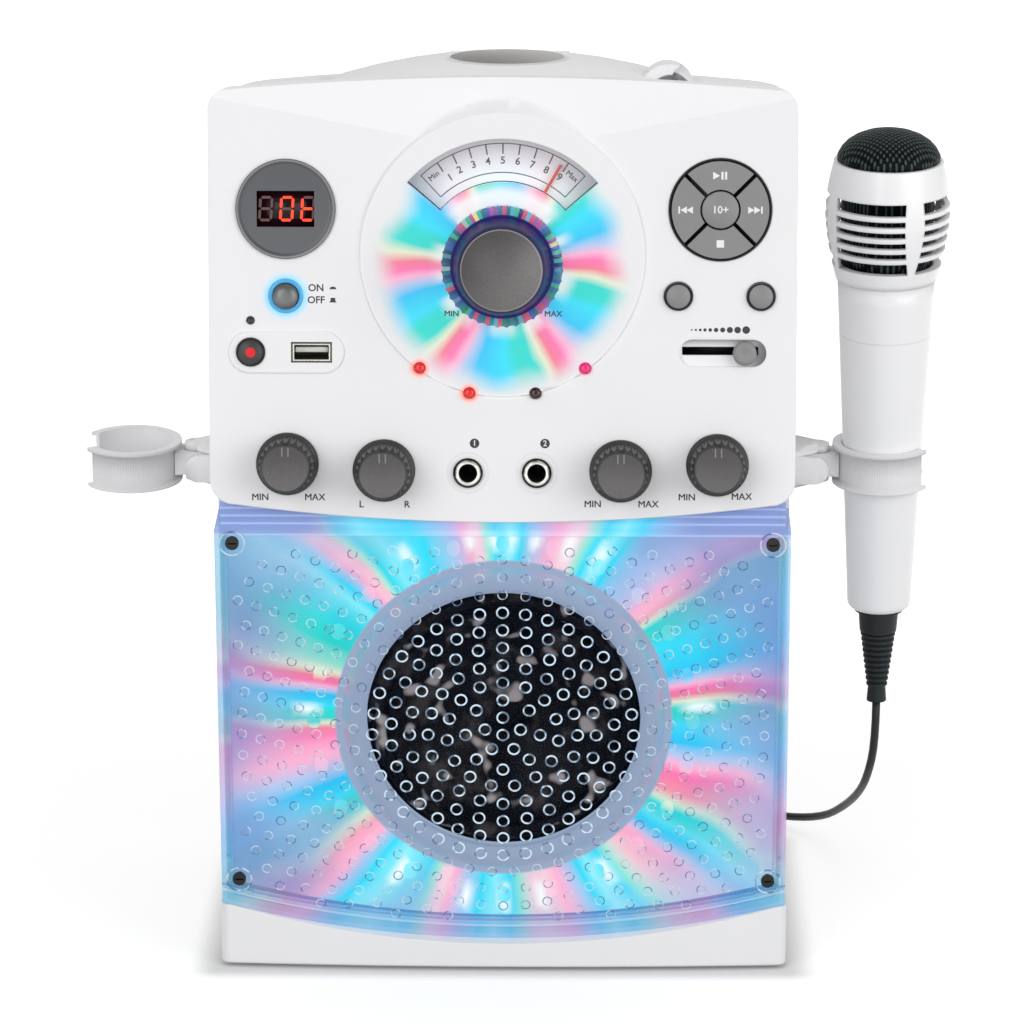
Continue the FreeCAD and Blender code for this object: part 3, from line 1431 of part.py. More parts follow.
def clip_brackets():
    """Plates on the cabinet sides, each with two gussets round a clip's arm and a locking tongue in front."""
    piece = Piece("clip_brackets")
    plate = S.body_width / 2 - S.cabinet_inset + S.bracket_plate
    wall = plate - S.bracket_plate + S.seam
    tip = plate + S.bracket_reach
    half = S.bracket_half_width
    slot = S.clip_arm_height / 2 + S.fit
    tall = slot + S.gusset + 2
    root_plates = piece.draw("XY_Plane", -tall)
    for side in (-1, 1):
        root_plates.box(side * plate, -half, side * wall, half)
    piece.pad(root_plates, 2 * tall)
    near = plate - 0.5
    for low in (slot, -slot - S.gusset):
        gussets = piece.draw("XY_Plane", low)
        for side in (-1, 1):
            gussets.outline([(side * near, -half), (side * near, half), (side * (tip - 5), 5.0, side * tip, 0.0),
                             (side * (tip - 5), -5.0)])
        piece.pad(gussets, S.gusset)
    tongues = piece.draw("XZ_Plane", half - S.tongue)
    tall_half = slot + 0.5
    bend = tip - 6
    for side in (-1, 1):
        tongues.outline([(side * near, -tall_half), (side * near, tall_half),
                         (side * bend, tall_half, side * (bend + tall_half), 0.0), (side * bend, -tall_half)])
    piece.pad(tongues, S.tongue)
    piece.place(0.0, S.clip_y, S.clip_z, S.clip_tilt)


def microphone():
    handle = Piece("mic_handle")
    rounding = S.mic_tail_round
    tail = S.mic_tail
    inner = S.mic_tail_radius - rounding
    bend = rounding * EIGHTH
    handle.turn([(0.0, tail), (inner, tail, inner + bend, tail + rounding - bend),
                 (S.mic_tail_radius, tail + rounding), (S.mic_seam_radius, S.mic_seam), (0.0, S.mic_seam)])
    handle.at_clip(1)
    head = Piece("mic_head")
    skin = S.mic_basket_wall
    seat = S.mic_seam + S.seam
    mid = (S.mic_seam + S.mic_widest) / 2
    mid_radius = (S.mic_seam_radius + S.mic_widest_radius) / 2 + 0.9
    high_mid = (S.mic_widest + S.mic_rim) / 2
    high_radius = (S.mic_widest_radius + S.mic_rim_radius) / 2 + 0.8
    foot = (S.mic_seam_radius + 0.7, seat)
    belly = (S.mic_widest_radius, S.mic_widest)
    rim = (S.mic_rim_radius, S.mic_rim)
    inner_rim = (S.mic_rim_radius - skin, S.mic_rim)
    inner_belly = (S.mic_widest_radius - skin, S.mic_widest)
    inner_foot = (S.mic_seam_radius - skin, seat + 3)
    head.turn([
        (0.0, seat), *bowed(foot, (mid_radius, mid), belly), *bowed(belly, (high_radius, high_mid), rim),
        rim, *bowed(inner_rim, (high_radius - skin, high_mid), inner_belly),
        *bowed(inner_belly, (mid_radius - skin, mid + 1), inner_foot), inner_foot, (0.0, seat + 3)])
    slots = head.draw("YZ_Plane")
    slots.sketch.AttachmentOffset = FreeCAD.Placement(FreeCAD.Vector(), FreeCAD.Rotation(FreeCAD.Vector(0, 1, 0), -20))
    bind(slots.sketch, "AttachmentOffset.Rotation.Angle", -S.mic_slot_turn)
    low = S.mic_slot_first
    half = S.mic_slot_half_width
    for tall in (S.mic_slot_wide, *([S.mic_slot_narrow] * 4), S.mic_slot_wide):
        slots.box(-half, low, half, low + tall)
        low = low + tall + S.mic_slot_rib
    cut = head.pocket(slots, S.mic_widest_radius + 5, flip=True)
    axis = head.draw().done()
    head.pattern(cut, 4, axis)
    head.at_clip(1)
    mesh = Piece("mic_mesh")
    core = S.mic_rim_radius - skin - S.fit
    low = S.mic_seam + 3 + S.seam + S.fit
    waist = S.mic_seam_radius - skin - S.fit
    shoulder = S.mic_rim - 3
    dome = S.mic_rim_radius - 1.2
    dome_curve = bowed((dome, S.mic_rim + 2), (dome * 0.68, S.mic_top - 3.2), (1.0, S.mic_top), 6)
    mesh.turn([(0.0, low), (waist, low), (core - 0.6, low + 8), (core - 0.6, shoulder), (core - 0.6, S.mic_rim + S.fit),
               (dome, S.mic_rim + S.fit), *dome_curve, (1.0, S.mic_top), (0.0, S.mic_top)])
    mesh.at_clip(1)
    boot = Piece("mic_boot")
    sleeve = tail - S.boot_sleeve
    end = tail - S.boot_length
    outline = [(0.0, tail), (S.boot_collar, tail), (S.boot_collar, tail - 1.0), (S.boot_radius, tail - 1.6),
               (S.boot_radius - 0.6, sleeve)]
    ribs = int(S.boot_ribs.value)
    pitch = (S.boot_length - S.boot_sleeve - 6) / ribs
    for rib in range(ribs):
        radius = S.boot_radius - 1.0 - (S.boot_radius - 1.0 - S.boot_end_radius) * (rib / ribs)
        top = sleeve - rib * pitch
        outline += [(radius - S.boot_rib, top - 0.2 * pitch), (radius, top - 0.45 * pitch),
                    (radius, top - 0.75 * pitch)]
    outline += [(S.boot_end_radius - 0.4, end + 6), (S.boot_end_radius, end + 0.6), (S.boot_end_radius, end), (0.0, end)]
    boot.turn(outline)
    boot.at_clip(1)


def rounded_route(points):
    """Edges of straight runs joined by tangent arcs, with each arc as large as its runs allow."""
    edges = []
    radii = []
    start = points[0]
    for before, corner, after in zip(points, points[1:], points[2:]):
        back = (before - corner).normalize()
        ahead = (after - corner).normalize()
        run = 0.45 * min((before - corner).Length, (after - corner).Length)
        first = corner + back * run
        last = corner + ahead * run
        half_turn = (math.pi - back.getAngle(ahead)) / 2
        radius = run / math.tan(half_turn)
        bisector = (back + ahead).normalize()
        middle = corner + bisector * (radius / math.cos(half_turn) - radius)
        edges.append(Part.LineSegment(start, first).toShape())
        edges.append(Part.Arc(first, middle, last).toShape())
        radii.append(radius)
        start = last
    edges.append(Part.LineSegment(start, points[-1]).toShape())
    return edges, radii


def arc_from(start, tangent, end):
    """The arc that leaves a point along a tangent and ends at another point."""
    chord = end - start
    along = chord * (1 / chord.Length)
    aside = tangent - along * tangent.dot(along)
    if aside.Length < 1e-9:
        return Part.LineSegment(start, end).toShape()
    lean = tangent.getAngle(along)
    middle = start + chord * 0.5 + aside.normalize() * (chord.Length / 2 * math.tan(lean / 2))
    return Part.Arc(start, middle, end).toShape()


def biarc(start, leave, end, arrive):
    """Two arcs with a common tangent from one point and direction to another."""
    span = end - start
    both = leave + arrive
    spread = 2 * (1 - leave.dot(arrive))
    reach = span.dot(both)
    if spread < 1e-9:
        size = span.dot(span) / (4 * span.dot(arrive))
    else:
        size = (-reach + math.sqrt(reach * reach + spread * span.dot(span))) / spread
    joint = (start + end + (leave - arrive) * size) * 0.5
    second = arc_from(end, arrive * -1, joint)
    return [arc_from(start, leave, joint), second]


def section(start, tangent, sides):
    """A many-sided section of the cord, square to its path."""
    radius = S.cord_radius.value
    side = tangent.cross(FreeCAD.Vector(0, 0, 1)).normalize()
    up = side.cross(tangent).normalize()
    corners = []
    for step in range(sides + 1):
        angle = 2 * math.pi * (step % sides) / sides
        corners.append(start + side * (radius * math.cos(angle)) + up * (radius * math.sin(angle)))
    return Part.makePolygon(corners)


def keep_shape(name, shape):
    made = doc.addObject("Part::Feature", name)
    made.Label = name
    made.Shape = shape
    made.Placement = FreeCAD.Placement()
    NODES[name] = made


def coil_point(turn):
    """Place of the coil's middle line after a number of turns, layer by layer."""
    per_layer = S.coil_turns.value
    layers = int(S.coil_layers.value)
    pitch = S.coil_pitch.value
    spell = per_layer + 0.5
    layer = min(int(turn / spell), layers - 1)
    inside = turn - layer * spell
    spread = inside if layer == layers - 1 else min(inside, per_layer)
    inner = S.coil_inner.value
    outer = inner + per_layer * pitch
    radius = outer - spread * pitch if layer % 2 == 0 else inner + spread * pitch
    climb = min(max(inside - per_layer, 0.0) / 0.5, 1.0)
    if layer == layers - 1:
        climb = 0.0
    ease = climb * climb * (3 - 2 * climb)
    height = S.coil_lift.value + S.cord_radius.value + (layer + ease) * pitch
    angle = 2 * math.pi * turn + math.radians(S.coil_start.value)
    return FreeCAD.Vector(S.coil_x.value + radius * math.cos(angle), S.coil_y.value + radius * math.sin(angle), height)


def coil_tangent(turn):
    step = 0.01
    return (coil_point(turn + step) - coil_point(max(turn - step, 0.0))).normalize()


def mic_cord():
    radius = S.cord_radius.value
    tilt = math.radians(S.clip_tilt.value)
    end = S.mic_tail.value - S.boot_length.value
    axis = FreeCAD.Vector(0, -math.sin(tilt), math.cos(tilt))
    exit_point = FreeCAD.Vector(S.clip_x.value, S.clip_y.value, S.clip_z.value) + axis * end
    quarters = int(round(4 * last_turn()))
    turns = [last_turn() * step / quarters for step in range(quarters + 1)]
    coil_start = coil_point(0.0)
    lead = coil_tangent(0.0)
    points = [exit_point, exit_point - axis * S.cord_lead.value]
    points += [FreeCAD.Vector(*point) for point in CORD_ROUTE]
    points += [coil_start - lead * S.coil_approach.value, coil_start]
    edges, radii = rounded_route(points)
    path = Part.Wire(edges)
    first = (points[1] - points[0]).normalize()
    ring = Part.Wire(Part.Circle(points[0], first, radius).toShape())
    tube = path.makePipeShell([ring], True, False)
    keep_shape("mic_cord", tube)
    print("cord radii", [round(value, 1) for value in radii])
    print("cord length", round(path.Length, 1), "volume share", round(tube.Volume / (math.pi * radius ** 2 * path.Length), 4))
    places = [coil_point(turn) for turn in turns]
    leads = [lead, *[coil_tangent(turn) for turn in turns[1:]]]
    plug_entry, plug_lead = plug_mouth()
    exit_tail = places[-1] + leads[-1] * (4 * radius)
    loops = []
    for index in range(len(turns) - 1):
        loops += biarc(places[index], leads[index], places[index + 1], leads[index + 1])
    loops.append(Part.LineSegment(places[-1], exit_tail).toShape())
    loops += biarc(exit_tail, leads[-1], plug_entry - plug_lead * 8, plug_lead)
    loops.append(Part.LineSegment(plug_entry - plug_lead * 8, plug_entry).toShape())
    coil_path = Part.Wire(Part.__sortEdges__(loops))
    coil = coil_path.makePipeShell([section(places[0], lead, int(S.cord_sides.value))], True, False)
    keep_shape("mic_cord_coil", coil)
    print("coil length", round(coil_path.Length, 1), "turns", round(turns[-1], 2))
    print("coil least self gap", round(self_gap(turns), 2))


def last_turn():
    """The top layer ends where the cord leaves toward the plug."""
    whole = int(S.coil_layers.value * (S.coil_turns.value + 0.5)) - 1
    return whole + (S.coil_end.value - S.coil_start.value) / 360


def self_gap(turns):
    """Least distance between two stretches of the coil that are a half turn or more apart."""
    steps = 24
    samples = [coil_point(step / steps) for step in range(int(turns[-1] * steps) + 1)]
    least = min((samples[a] - samples[b]).Length
                for a in range(len(samples)) for b in range(a + steps // 2, len(samples)))
    return least - 2 * S.cord_radius.value


def plug_mouth():
    """Where the cord enters the plug that lies beside the coil, and in which direction."""
    leave = coil_point(last_turn())
    return FreeCAD.Vector(leave.x - 46, leave.y, S.plug_radius.value), FreeCAD.Vector(-1, 0, 0)


def mic_plug():
    entry, lead = plug_mouth()
    piece = Piece("mic_plug")
    grip = S.plug_length
    tip = grip + S.plug_tip_length
    neck = S.cord_radius + 1.4
    piece.turn([(0.0, 0.0), (neck, 0.0), (neck + 0.8, 9.0), (S.plug_radius - 0.8, 9.5), (S.plug_radius, 11.0),
                (S.plug_radius, grip - 1), (S.plug_radius - 1, grip), (S.plug_tip_radius, grip),
                (S.plug_tip_radius, tip - 4.5), (S.plug_tip_radius - 0.9, tip - 3.6), (S.plug_tip_radius - 0.2, tip - 2.6),
                (0.6, tip), (0.0, tip)])
    piece.body.Placement = FreeCAD.Placement(entry, FreeCAD.Rotation(FreeCAD.Vector(0, 0, 1), lead))


def cord_tie():
    """A flat strap round the turns of the coil, on its side toward the cabinet."""
    piece = Piece("cord_tie")
    radius = S.cord_radius
    inner = S.coil_inner - radius - 2 * S.fit
    outer = S.coil_inner + S.coil_turns * S.coil_pitch + radius + 2 * S.fit
    low = S.coil_lift - S.fit
    high = S.coil_lift + 2 * radius + (S.coil_layers - 1) * S.coil_pitch + 2 * S.fit
    band = piece.draw("YZ_Plane")
    band.box(-outer - S.tie_wall, low - S.tie_wall / 2, -inner + S.tie_wall, high + S.tie_wall)
    band.box(-outer, low, -inner, high)
    piece.pad(band, S.tie_width, both=True)
    piece.place(S.coil_x, S.coil_y, 0.0)


def build():
    rear_cabinet()
    front_panel()
    base_plinth()
    rubber_feet()
    speaker_cover()
    cover_screws()
    speaker_baffle()
    baffle_ring()
    disco_leds()
    speaker_driver()
    volume_dial()
    volume_knob()
    for name, (x, v) in KNOBS.items():
        small_knob(name, x, v)
    mic_jacks()
    display()
    power_switch()
    push_button("record_button", S.record_x, S.record_v, S.record_radius, S.record_proud)
    for name, x in SMALL_BUTTONS.items():
        push_button(name, x, S.button_row_v, S.button_radius, S.button_proud)
    indicator_leds()
    usb_port()
    transport_pad()
    light_slider()
    control_board()
    main_board()
    disc_deck()
    disc_drive()
    disc_lid()
    rear_sockets()
    for name, side in (("left", -1), ("right", 1)):
        mic_clip(f"mic_clip_{name}", side)
    clip_brackets()
    microphone()
    mic_cord()
    cord_tie()
    mic_plug()


def write_pieces():
    """Check that everything rebuilt, then write one file for each piece."""
    doc.recompute()
    broken = [item.Name for item in doc.Objects if "Invalid" in item.State or "Error" in item.State]
    if broken:
        raise RuntimeError(f"features that failed: {broken}")
    for name, item in NODES.items():
        if item.Shape.isNull() or not item.Shape.isValid() or not item.Shape.Solids:
            raise RuntimeError(f"piece without a sound solid: {name}")
    os.makedirs("parts", exist_ok=True)
    for name, item in NODES.items():
        item.Shape.exportStep(f"parts/{name}.step")
    print("pieces written", len(NODES))


build()
write_pieces()
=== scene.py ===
import json
import math

import bmesh
import bpy
from mathutils import Matrix, Vector

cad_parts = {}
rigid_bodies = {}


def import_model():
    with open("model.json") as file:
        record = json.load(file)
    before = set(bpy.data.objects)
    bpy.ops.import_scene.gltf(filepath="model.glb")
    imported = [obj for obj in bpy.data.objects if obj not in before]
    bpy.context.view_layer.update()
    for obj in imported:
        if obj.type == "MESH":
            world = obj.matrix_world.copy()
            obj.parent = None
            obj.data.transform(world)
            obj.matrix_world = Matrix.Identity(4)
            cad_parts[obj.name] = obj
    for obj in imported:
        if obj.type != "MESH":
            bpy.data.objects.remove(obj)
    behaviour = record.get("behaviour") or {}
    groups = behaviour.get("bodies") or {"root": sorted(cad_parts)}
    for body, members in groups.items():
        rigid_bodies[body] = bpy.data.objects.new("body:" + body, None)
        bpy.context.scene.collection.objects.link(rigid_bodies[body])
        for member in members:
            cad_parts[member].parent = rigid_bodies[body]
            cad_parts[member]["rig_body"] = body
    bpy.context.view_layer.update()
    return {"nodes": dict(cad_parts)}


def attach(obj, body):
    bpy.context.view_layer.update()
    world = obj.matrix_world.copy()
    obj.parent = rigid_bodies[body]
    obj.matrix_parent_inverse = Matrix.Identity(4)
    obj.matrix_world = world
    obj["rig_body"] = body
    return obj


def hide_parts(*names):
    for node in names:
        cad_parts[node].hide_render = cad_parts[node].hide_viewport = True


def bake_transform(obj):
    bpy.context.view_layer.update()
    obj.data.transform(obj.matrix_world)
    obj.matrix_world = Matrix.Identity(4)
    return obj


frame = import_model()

MM = 0.001
FULL_TURN = 2 * math.pi

# Camera: distance, pitch and yaw are chosen; the height puts the plinth's lower edge where it is seen.
CAMERA_PLACE = (31.2, -1846, 573.4)
CAMERA_PITCH = 12.6
CAMERA_YAW = 0.9
FOCAL_LENGTH = 174.3

# Lamps of the studio: place in metres, size and power; what they point at; the world's level as a light.
LAMPS = (
    ("key", (-1.2, -2.1, 0.95), 1.6, 20),
    ("fill", (1.7, -1.6, 0.7), 1.8, 23),
    ("top", (0.2, 0.3, 2.2), 1.6, 3),
)
LAMP_AIM = (0, 0, 0.17)
WORLD_LEVEL = 0.66

# The shared lines of the cabinet, as in the part's source.
NOSE = Vector((0, -86, 176))
PANEL_LEAN = 5
COVER_LEAN = 7
CLIP_PLACE = Vector((143.7, 14, 178))
MIC_SEAM = 51.5
MESH_PITCH = 2.3
CLIP_TILT = 6
HOOD = (61.5, 15, 327.4)
HOOD_BOW = 0.075
LID_WINDOW = (0, 26, 330)

# Dial and knobs.
DIAL_V = 94.1
BOSS_V = 97.7
DIAL_PRINT_W = -6.62
BOSS_W = 1.2
SCALE_OUTER = 43.4
SCALE_INNER = 32.9
SCALE_HALF_ANGLE = 43.2
SCALE_STEP = 8.3
SCALE_PARTS = 36
SCALE_LINE = 0.36
SKIRT_RADIUS = 22.1
SKIRT_FACETS = 84
KNOBS = ((-78.1, 21.4), (-43, 19.1), (43, 19.1), (78.1, 21.4))
JACKS = ((-12.5, 18.2), (12.5, 18.2))
DISPLAY = (-78.4, 114.1)
POWER = (-78.5, 82.5)
RECORD = (-91.3, 62.1)
USB = (-69.2, 62.1)
SLIDER = (79.8, 62.1)
SMALL_BUTTONS = (("source", 63.6, 82.8), ("repeat", 93.5, 82.8))
PAD = (78.6, 114.1)
KNOB_TOP = 15.52
BUTTON_TOP = 1.63
PAD_TOP = 1.46
SIGN_REACH = 12.4
PRINT_LIFT = 0.06
LIGHTS = ((-30, 56.5), (-12, 47.4), (12, 47.4), (30, 56.5))
BOSS_RADIUS = 51.7
JACK_PLATE = 7.4
# Soft patches of light on the panel: place, inner and outer radius, colour.
PANEL_HALOS = (
    (POWER, 5.6, 9.6, (0.10, 0.50, 0.85)), (LIGHTS[0], 1.6, 4.6, (0.95, 0.20, 0.12)),
    (LIGHTS[1], 1.6, 4.6, (0.95, 0.20, 0.12)), (LIGHTS[3], 1.6, 3.4, (0.95, 0.25, 0.45)),
)

# Speaker cover.
SPEAKER_V = -83.4
HOLE_PITCH = 6.9
HOLE_COUNTS = (5, 8, 15, 20, 24, 30, 36)
HOLE_RADIUS = 1.9
DIMPLE_RADIUS = 1.7
DIMPLE_RINGS = 20
DIMPLES_PER_RING = 5.15
SCREW_CLEAR = 9.5
COVER_HALF_WIDTH = 98.5
COVER_TOP = -8.5
COVER_BOTTOM = -148
COVER_SAG = 13
COVER_BOW = 0.00126
COVER_FOOT = 166
COVER_SIDE = 105.3
SCREWS = ((-98.7, -8.5), (98.7, -8.5), (-98.7, -142), (98.7, -142))
LIGHT_RING = 69
FROST_RADIUS = 62.8

# Microphone cord: the route and the coil, as in the part's source.
CORD_RADIUS = 1.6
CORD_SIDES = 10
CORD_EXIT = -97.5
CORD_LEAD = 18
CORD_ROUTE = (
    (141.5, 36, 47),
    (139.3, 54, 35),
    (135, 80, 22),
    (127.5, 103, 10.5),
    (112, 125, 4.2),
)
COIL_PLACE = (60.4, 134.6)
COIL_START = 58
COIL_END = 90
COIL_APPROACH = 22
COIL_INNER = 12.5
COIL_TURNS = 3
COIL_LAYERS = 4
COIL_PITCH = 4.2
COIL_LIFT = 1
COIL_STEPS = 18
PLUG_REACH = 46
PLUG_HEIGHT = 6
PLUG_GRIP = 12


def leaning(origin, angle):
    """Placement whose x runs right, y up the leaning face and z out of it; millimetres to metres."""
    turn = Matrix.Rotation(math.radians(angle), 4, "X")
    return Matrix.Scale(MM, 4) @ Matrix.Translation(origin) @ turn


PANEL = leaning(NOSE, 90 - PANEL_LEAN)
COVER = leaning(NOSE, 90 + COVER_LEAN)
MICROPHONE = leaning(CLIP_PLACE, CLIP_TILT)


class Value:
    """A number or colour that runs through shader nodes; sums and products add Math nodes."""

    def __init__(self, skin, socket):
        self.skin = skin
        self.socket = socket

    def math(self, operation, *others):
        return self.skin.add("Math", {"operation": operation}, *([self] + list(others)))

    def __add__(self, other):
        return self.math("ADD", other)

    __radd__ = __add__

    def __mul__(self, other):
        return self.math("MULTIPLY", other)

    __rmul__ = __mul__

    def __sub__(self, other):
        return self.math("SUBTRACT", other)

    def __rsub__(self, other):
        return self.skin.add("Math", {"operation": "SUBTRACT"}, other, self)

    def __truediv__(self, other):
        return self.math("DIVIDE", other)

    def __abs__(self):
        return self.math("ABSOLUTE")


class Skin:
    """One material, or the world: a shader with its fixed numbers, and the nodes that feed it."""

    def __init__(self, name, store=bpy.data.materials, shader="Principled BSDF", **fixed):
        self.material = store.new(name)
        self.material.use_nodes = True
        self.nodes = self.material.node_tree.nodes
        self.links = self.material.node_tree.links
        self.shader = self.nodes[shader]
        for socket, value in fixed.items():
            self.shader.inputs[socket.replace("_", " ")].default_value = value

    def add(self, kind, settings, *values, output=0, **named):
        """Any node: its type, its settings, then its sockets in order or by name."""
        node = self.nodes.new("ShaderNode" + kind)
        for key, value in settings.items():
            if key == "stops":
                self.set_stops(node.color_ramp, value)
            else:
                setattr(node, key, value)
        pairs = list(zip(node.inputs, values)) + [(node.inputs[key], value) for key, value in named.items()]
        for socket, value in pairs:
            if isinstance(value, Value):
                self.links.new(value.socket, socket)
            else:
                socket.default_value = value
        return Value(self, node.outputs[output])

    def set_stops(self, ramp, stops):
        while len(ramp.elements) > 1:
            ramp.elements.remove(ramp.elements[-1])
        ramp.elements[0].position = stops[0][0]
        ramp.elements[0].color = (*stops[0][1], 1)
        for position, colour in stops[1:]:
            ramp.elements.new(position).color = (*colour, 1)

    def place(self):
        """The place on the piece, in metres."""
        return self.add("TexCoord", {}, output="Object")

    def noise(self, scale, detail=3, roughness=0.5):
        return self.add("TexNoise", {}, Vector=self.place(), Scale=scale, Detail=detail, Roughness=roughness)

    def rays(self, angle, count):
        """Noise that changes only with the angle."""
        return self.add("TexNoise", {"noise_dimensions": "1D"}, W=angle * count, Scale=1, Detail=0)

    def dot(self, origin, direction):
        """Distance in millimetres along a direction, from an origin in millimetres."""
        moved = self.add("VectorMath", {"operation": "SUBTRACT"}, self.place(), tuple(Vector(origin) * MM))
        reach = tuple(Vector(direction) / MM)
        return self.add("VectorMath", {"operation": "DOT_PRODUCT"}, moved, reach, output="Value")

    def span(self, value, low, high, first=0, last=1):
        """A smooth step from first to last as the value runs from low to high."""
        settings = {"interpolation_type": "SMOOTHSTEP"}
        return self.add("MapRange", settings, value, low, high, first, last)

    def fall(self, value, low, high):
        """A smooth step from 1 down to 0."""
        return self.span(value, low, high, 1, 0)

    def line(self, value, middle, inner, outer):
        """A soft line: 1 within the inner distance of a middle, 0 past the outer one."""
        return self.fall(abs(value - middle), inner, outer)

    def mix(self, share, first, last):
        first, last = ((*end, 1) if isinstance(end, tuple) else end for end in (first, last))
        return self.add("Mix", {"data_type": "RGBA"}, Factor=share, output=2, A=first, B=last)

    def feed(self, **sockets):
        for name, value in sockets.items():
            self.links.new(value.socket, self.shader.inputs[name.replace("_", " ")])
        return self

    def lit(self, colour, dark):
        """Light of its own in a colour, on a body of the same colour made darker."""
        return self.feed(Base_Color=self.mix(dark, colour, BLACK), Emission_Color=colour)

    def seen_by(self, *rays):
        """1 for the named kinds of ray, and 0 for the others."""
        seen = 0
        for ray in rays:
            seen = self.add("LightPath", {}, output=f"Is {ray} Ray").math("MAXIMUM", seen)
        return seen

    def edge(self, radius):
        """Rounded edges, as moulded plastic has."""
        return self.add("Bevel", {"samples": 4}, Radius=radius * MM)

    def relief(self, height, strength, depth, normal=None):
        named = {"Strength": strength, "Distance": depth * MM, "Height": height}
        if normal is not None:
            named["Normal"] = normal
        return self.add("Bump", {}, **named)

    def mottled(self, colour, spread, scale):
        """A colour that drifts a little over the surface."""
        dark = tuple(channel * (1 - spread) for channel in colour)
        light = tuple(min(1, channel * (1 + spread)) for channel in colour)
        return self.mix(self.noise(scale), dark, light)

    def moulded(self, colour, roughness, edge, grain=900, depth=0.01, spread=0.02):
        """Moulded plastic: slight drift of colour and gloss, fine grain, rounded edges."""
        rough = self.noise(60) * 0.1 + (roughness - 0.05)
        normal = self.relief(self.noise(grain), 0.25, depth, self.edge(edge))
        return self.feed(Base_Color=self.mottled(colour, spread, 40), Roughness=rough, Normal=normal)


def axes(skin, placement, x=0, v=0):
    """Distances right, up and out of a leaning face in millimetres, from a point on it."""
    turn = placement.to_3x3().normalized()
    origin = placement @ Vector((x, v, 0)) / MM
    return [skin.dot(origin, turn.col[axis]) for axis in range(3)]


def reach(aside, above):
    return (aside * aside + above * above).math("SQRT")


def polar(skin, placement, middle_v):
    """Radius, clockwise angle from 0 at the top to 1, and the distances right and up."""
    across, up, _ = axes(skin, placement, 0, middle_v)
    angle = across.math("ARCTAN2", up) / FULL_TURN
    return reach(across, up), angle.math("FRACT"), across, up


def light_round(skin, angle, groups, first, deep=1):
    """Colour thrown by groups of red, green and blue lamps set evenly round a circle.

    The first red lamp is at a clockwise angle in degrees.
    """
    turn = (angle * groups - first * groups / 360).math("FRACT")
    soft, strong = (skin.add("ValToRGB", {"stops": stops}, turn) for stops in (SOFT_LIGHT, DEEP_LIGHT))
    return skin.mix(deep, soft, strong)


def spot_stops(angles):
    """Ramp stops that are white at some angles and black between them."""
    stops = [(0, BLACK)]
    for angle in angles:
        for step, level in ((-SPOT_HALF, 0), (0, 1), (SPOT_HALF, 0)):
            if 0 < angle + step < 360:
                stops.append(((angle + step) / 360, (level,) * 3))
    return stops


BLACK = (0, 0, 0)
WHITE = (0.85, 0.85, 0.865)
MIC_WHITE = (0.92, 0.92, 0.93)
FROST = (0.30, 0.385, 0.54)
CYAN = (0.032, 0.716, 0.922)
AQUA = (0.262, 0.855, 0.956)
TEAL = (0.026, 0.680, 0.610)
MINT = (0.305, 0.791, 0.680)
BLUE = (0.030, 0.540, 0.890)
LAVENDER = (0.445, 0.565, 0.838)
ROSE = (0.947, 0.445, 0.644)
BLUSH = (0.922, 0.644, 0.730)
PINK = (0.945, 0.190, 0.450)
RED = (0.871, 0.205, 0.305)
CREAM = (0.753, 0.807, 0.610)

# Light from one red, one green and one blue lamp in turn, where it is washed out and where it is strong.
SOFT_LIGHT = ((0, BLUSH), (0.08, BLUSH), (0.19, MINT), (0.3, CYAN), (0.5, AQUA), (0.66, CYAN), (0.8, LAVENDER),
              (0.92, ROSE), (1, BLUSH))
DEEP_LIGHT = ((0, PINK), (0.09, RED), (0.18, CREAM), (0.27, TEAL), (0.4, TEAL), (0.52, CYAN), (0.74, BLUE),
              (0.84, LAVENDER), (0.92, ROSE), (1, PINK))
# Groups of lamps round the speaker and round the volume knob, and the angle of the first red lamp.
COVER_LAMPS = (12, 18)
KNOB_LAMPS = (6, 27)

# Lamps of the light ring that show as bright spots, by clockwise angle, and half the width of a spot.
SPOT_HALF = 2.6
LAMP_SPOTS = (9.5, 19.4, 29.1, 86, 148, 169, 180, 191.3, 212.4, 273)
TOP_SPOTS = (2.7, 331, 350, 357.3)


def glossy_white(name, colour=WHITE, edge=1.2, **fixed):
    """Glossy white plastic, as most of the casing is."""
    return Skin(name, Coat_Weight=0.3, Coat_Roughness=0.12, **fixed).moulded(colour, 0.32, edge)


def lid_plastic():
    """The lid's white, with the shaded hollow of its lift hood."""
    skin = glossy_white("lid_plastic")
    aside, deep, high = (skin.dot(HOOD, direction) for direction in ((1, 0, 0), (0, 1, 0), (0, 0, 1)))
    arch = skin.fall(high + aside * aside * HOOD_BOW, -0.5, 0.3)
    hollow = arch * skin.fall(abs(deep), 6.2, 6.6) * skin.fall(abs(aside), 8.4, 9.2)
    shade = skin.mottled(WHITE, 0.02, 40)
    return skin.feed(Base_Color=skin.mix(hollow, shade, (0.17, 0.16, 0.17)))


def microphone_plastic():
    """The microphone's white, with the fine seam round its handle."""
    skin = glossy_white("microphone_plastic", MIC_WHITE, 1)
    _, _, along = axes(skin, MICROPHONE)
    seam = skin.line(along, MIC_SEAM, 0.1, 0.35)
    shade = skin.mottled(MIC_WHITE, 0.02, 40)
    return skin.feed(Base_Color=skin.mix(seam * 0.3, shade, (0.45, 0.45, 0.47)))


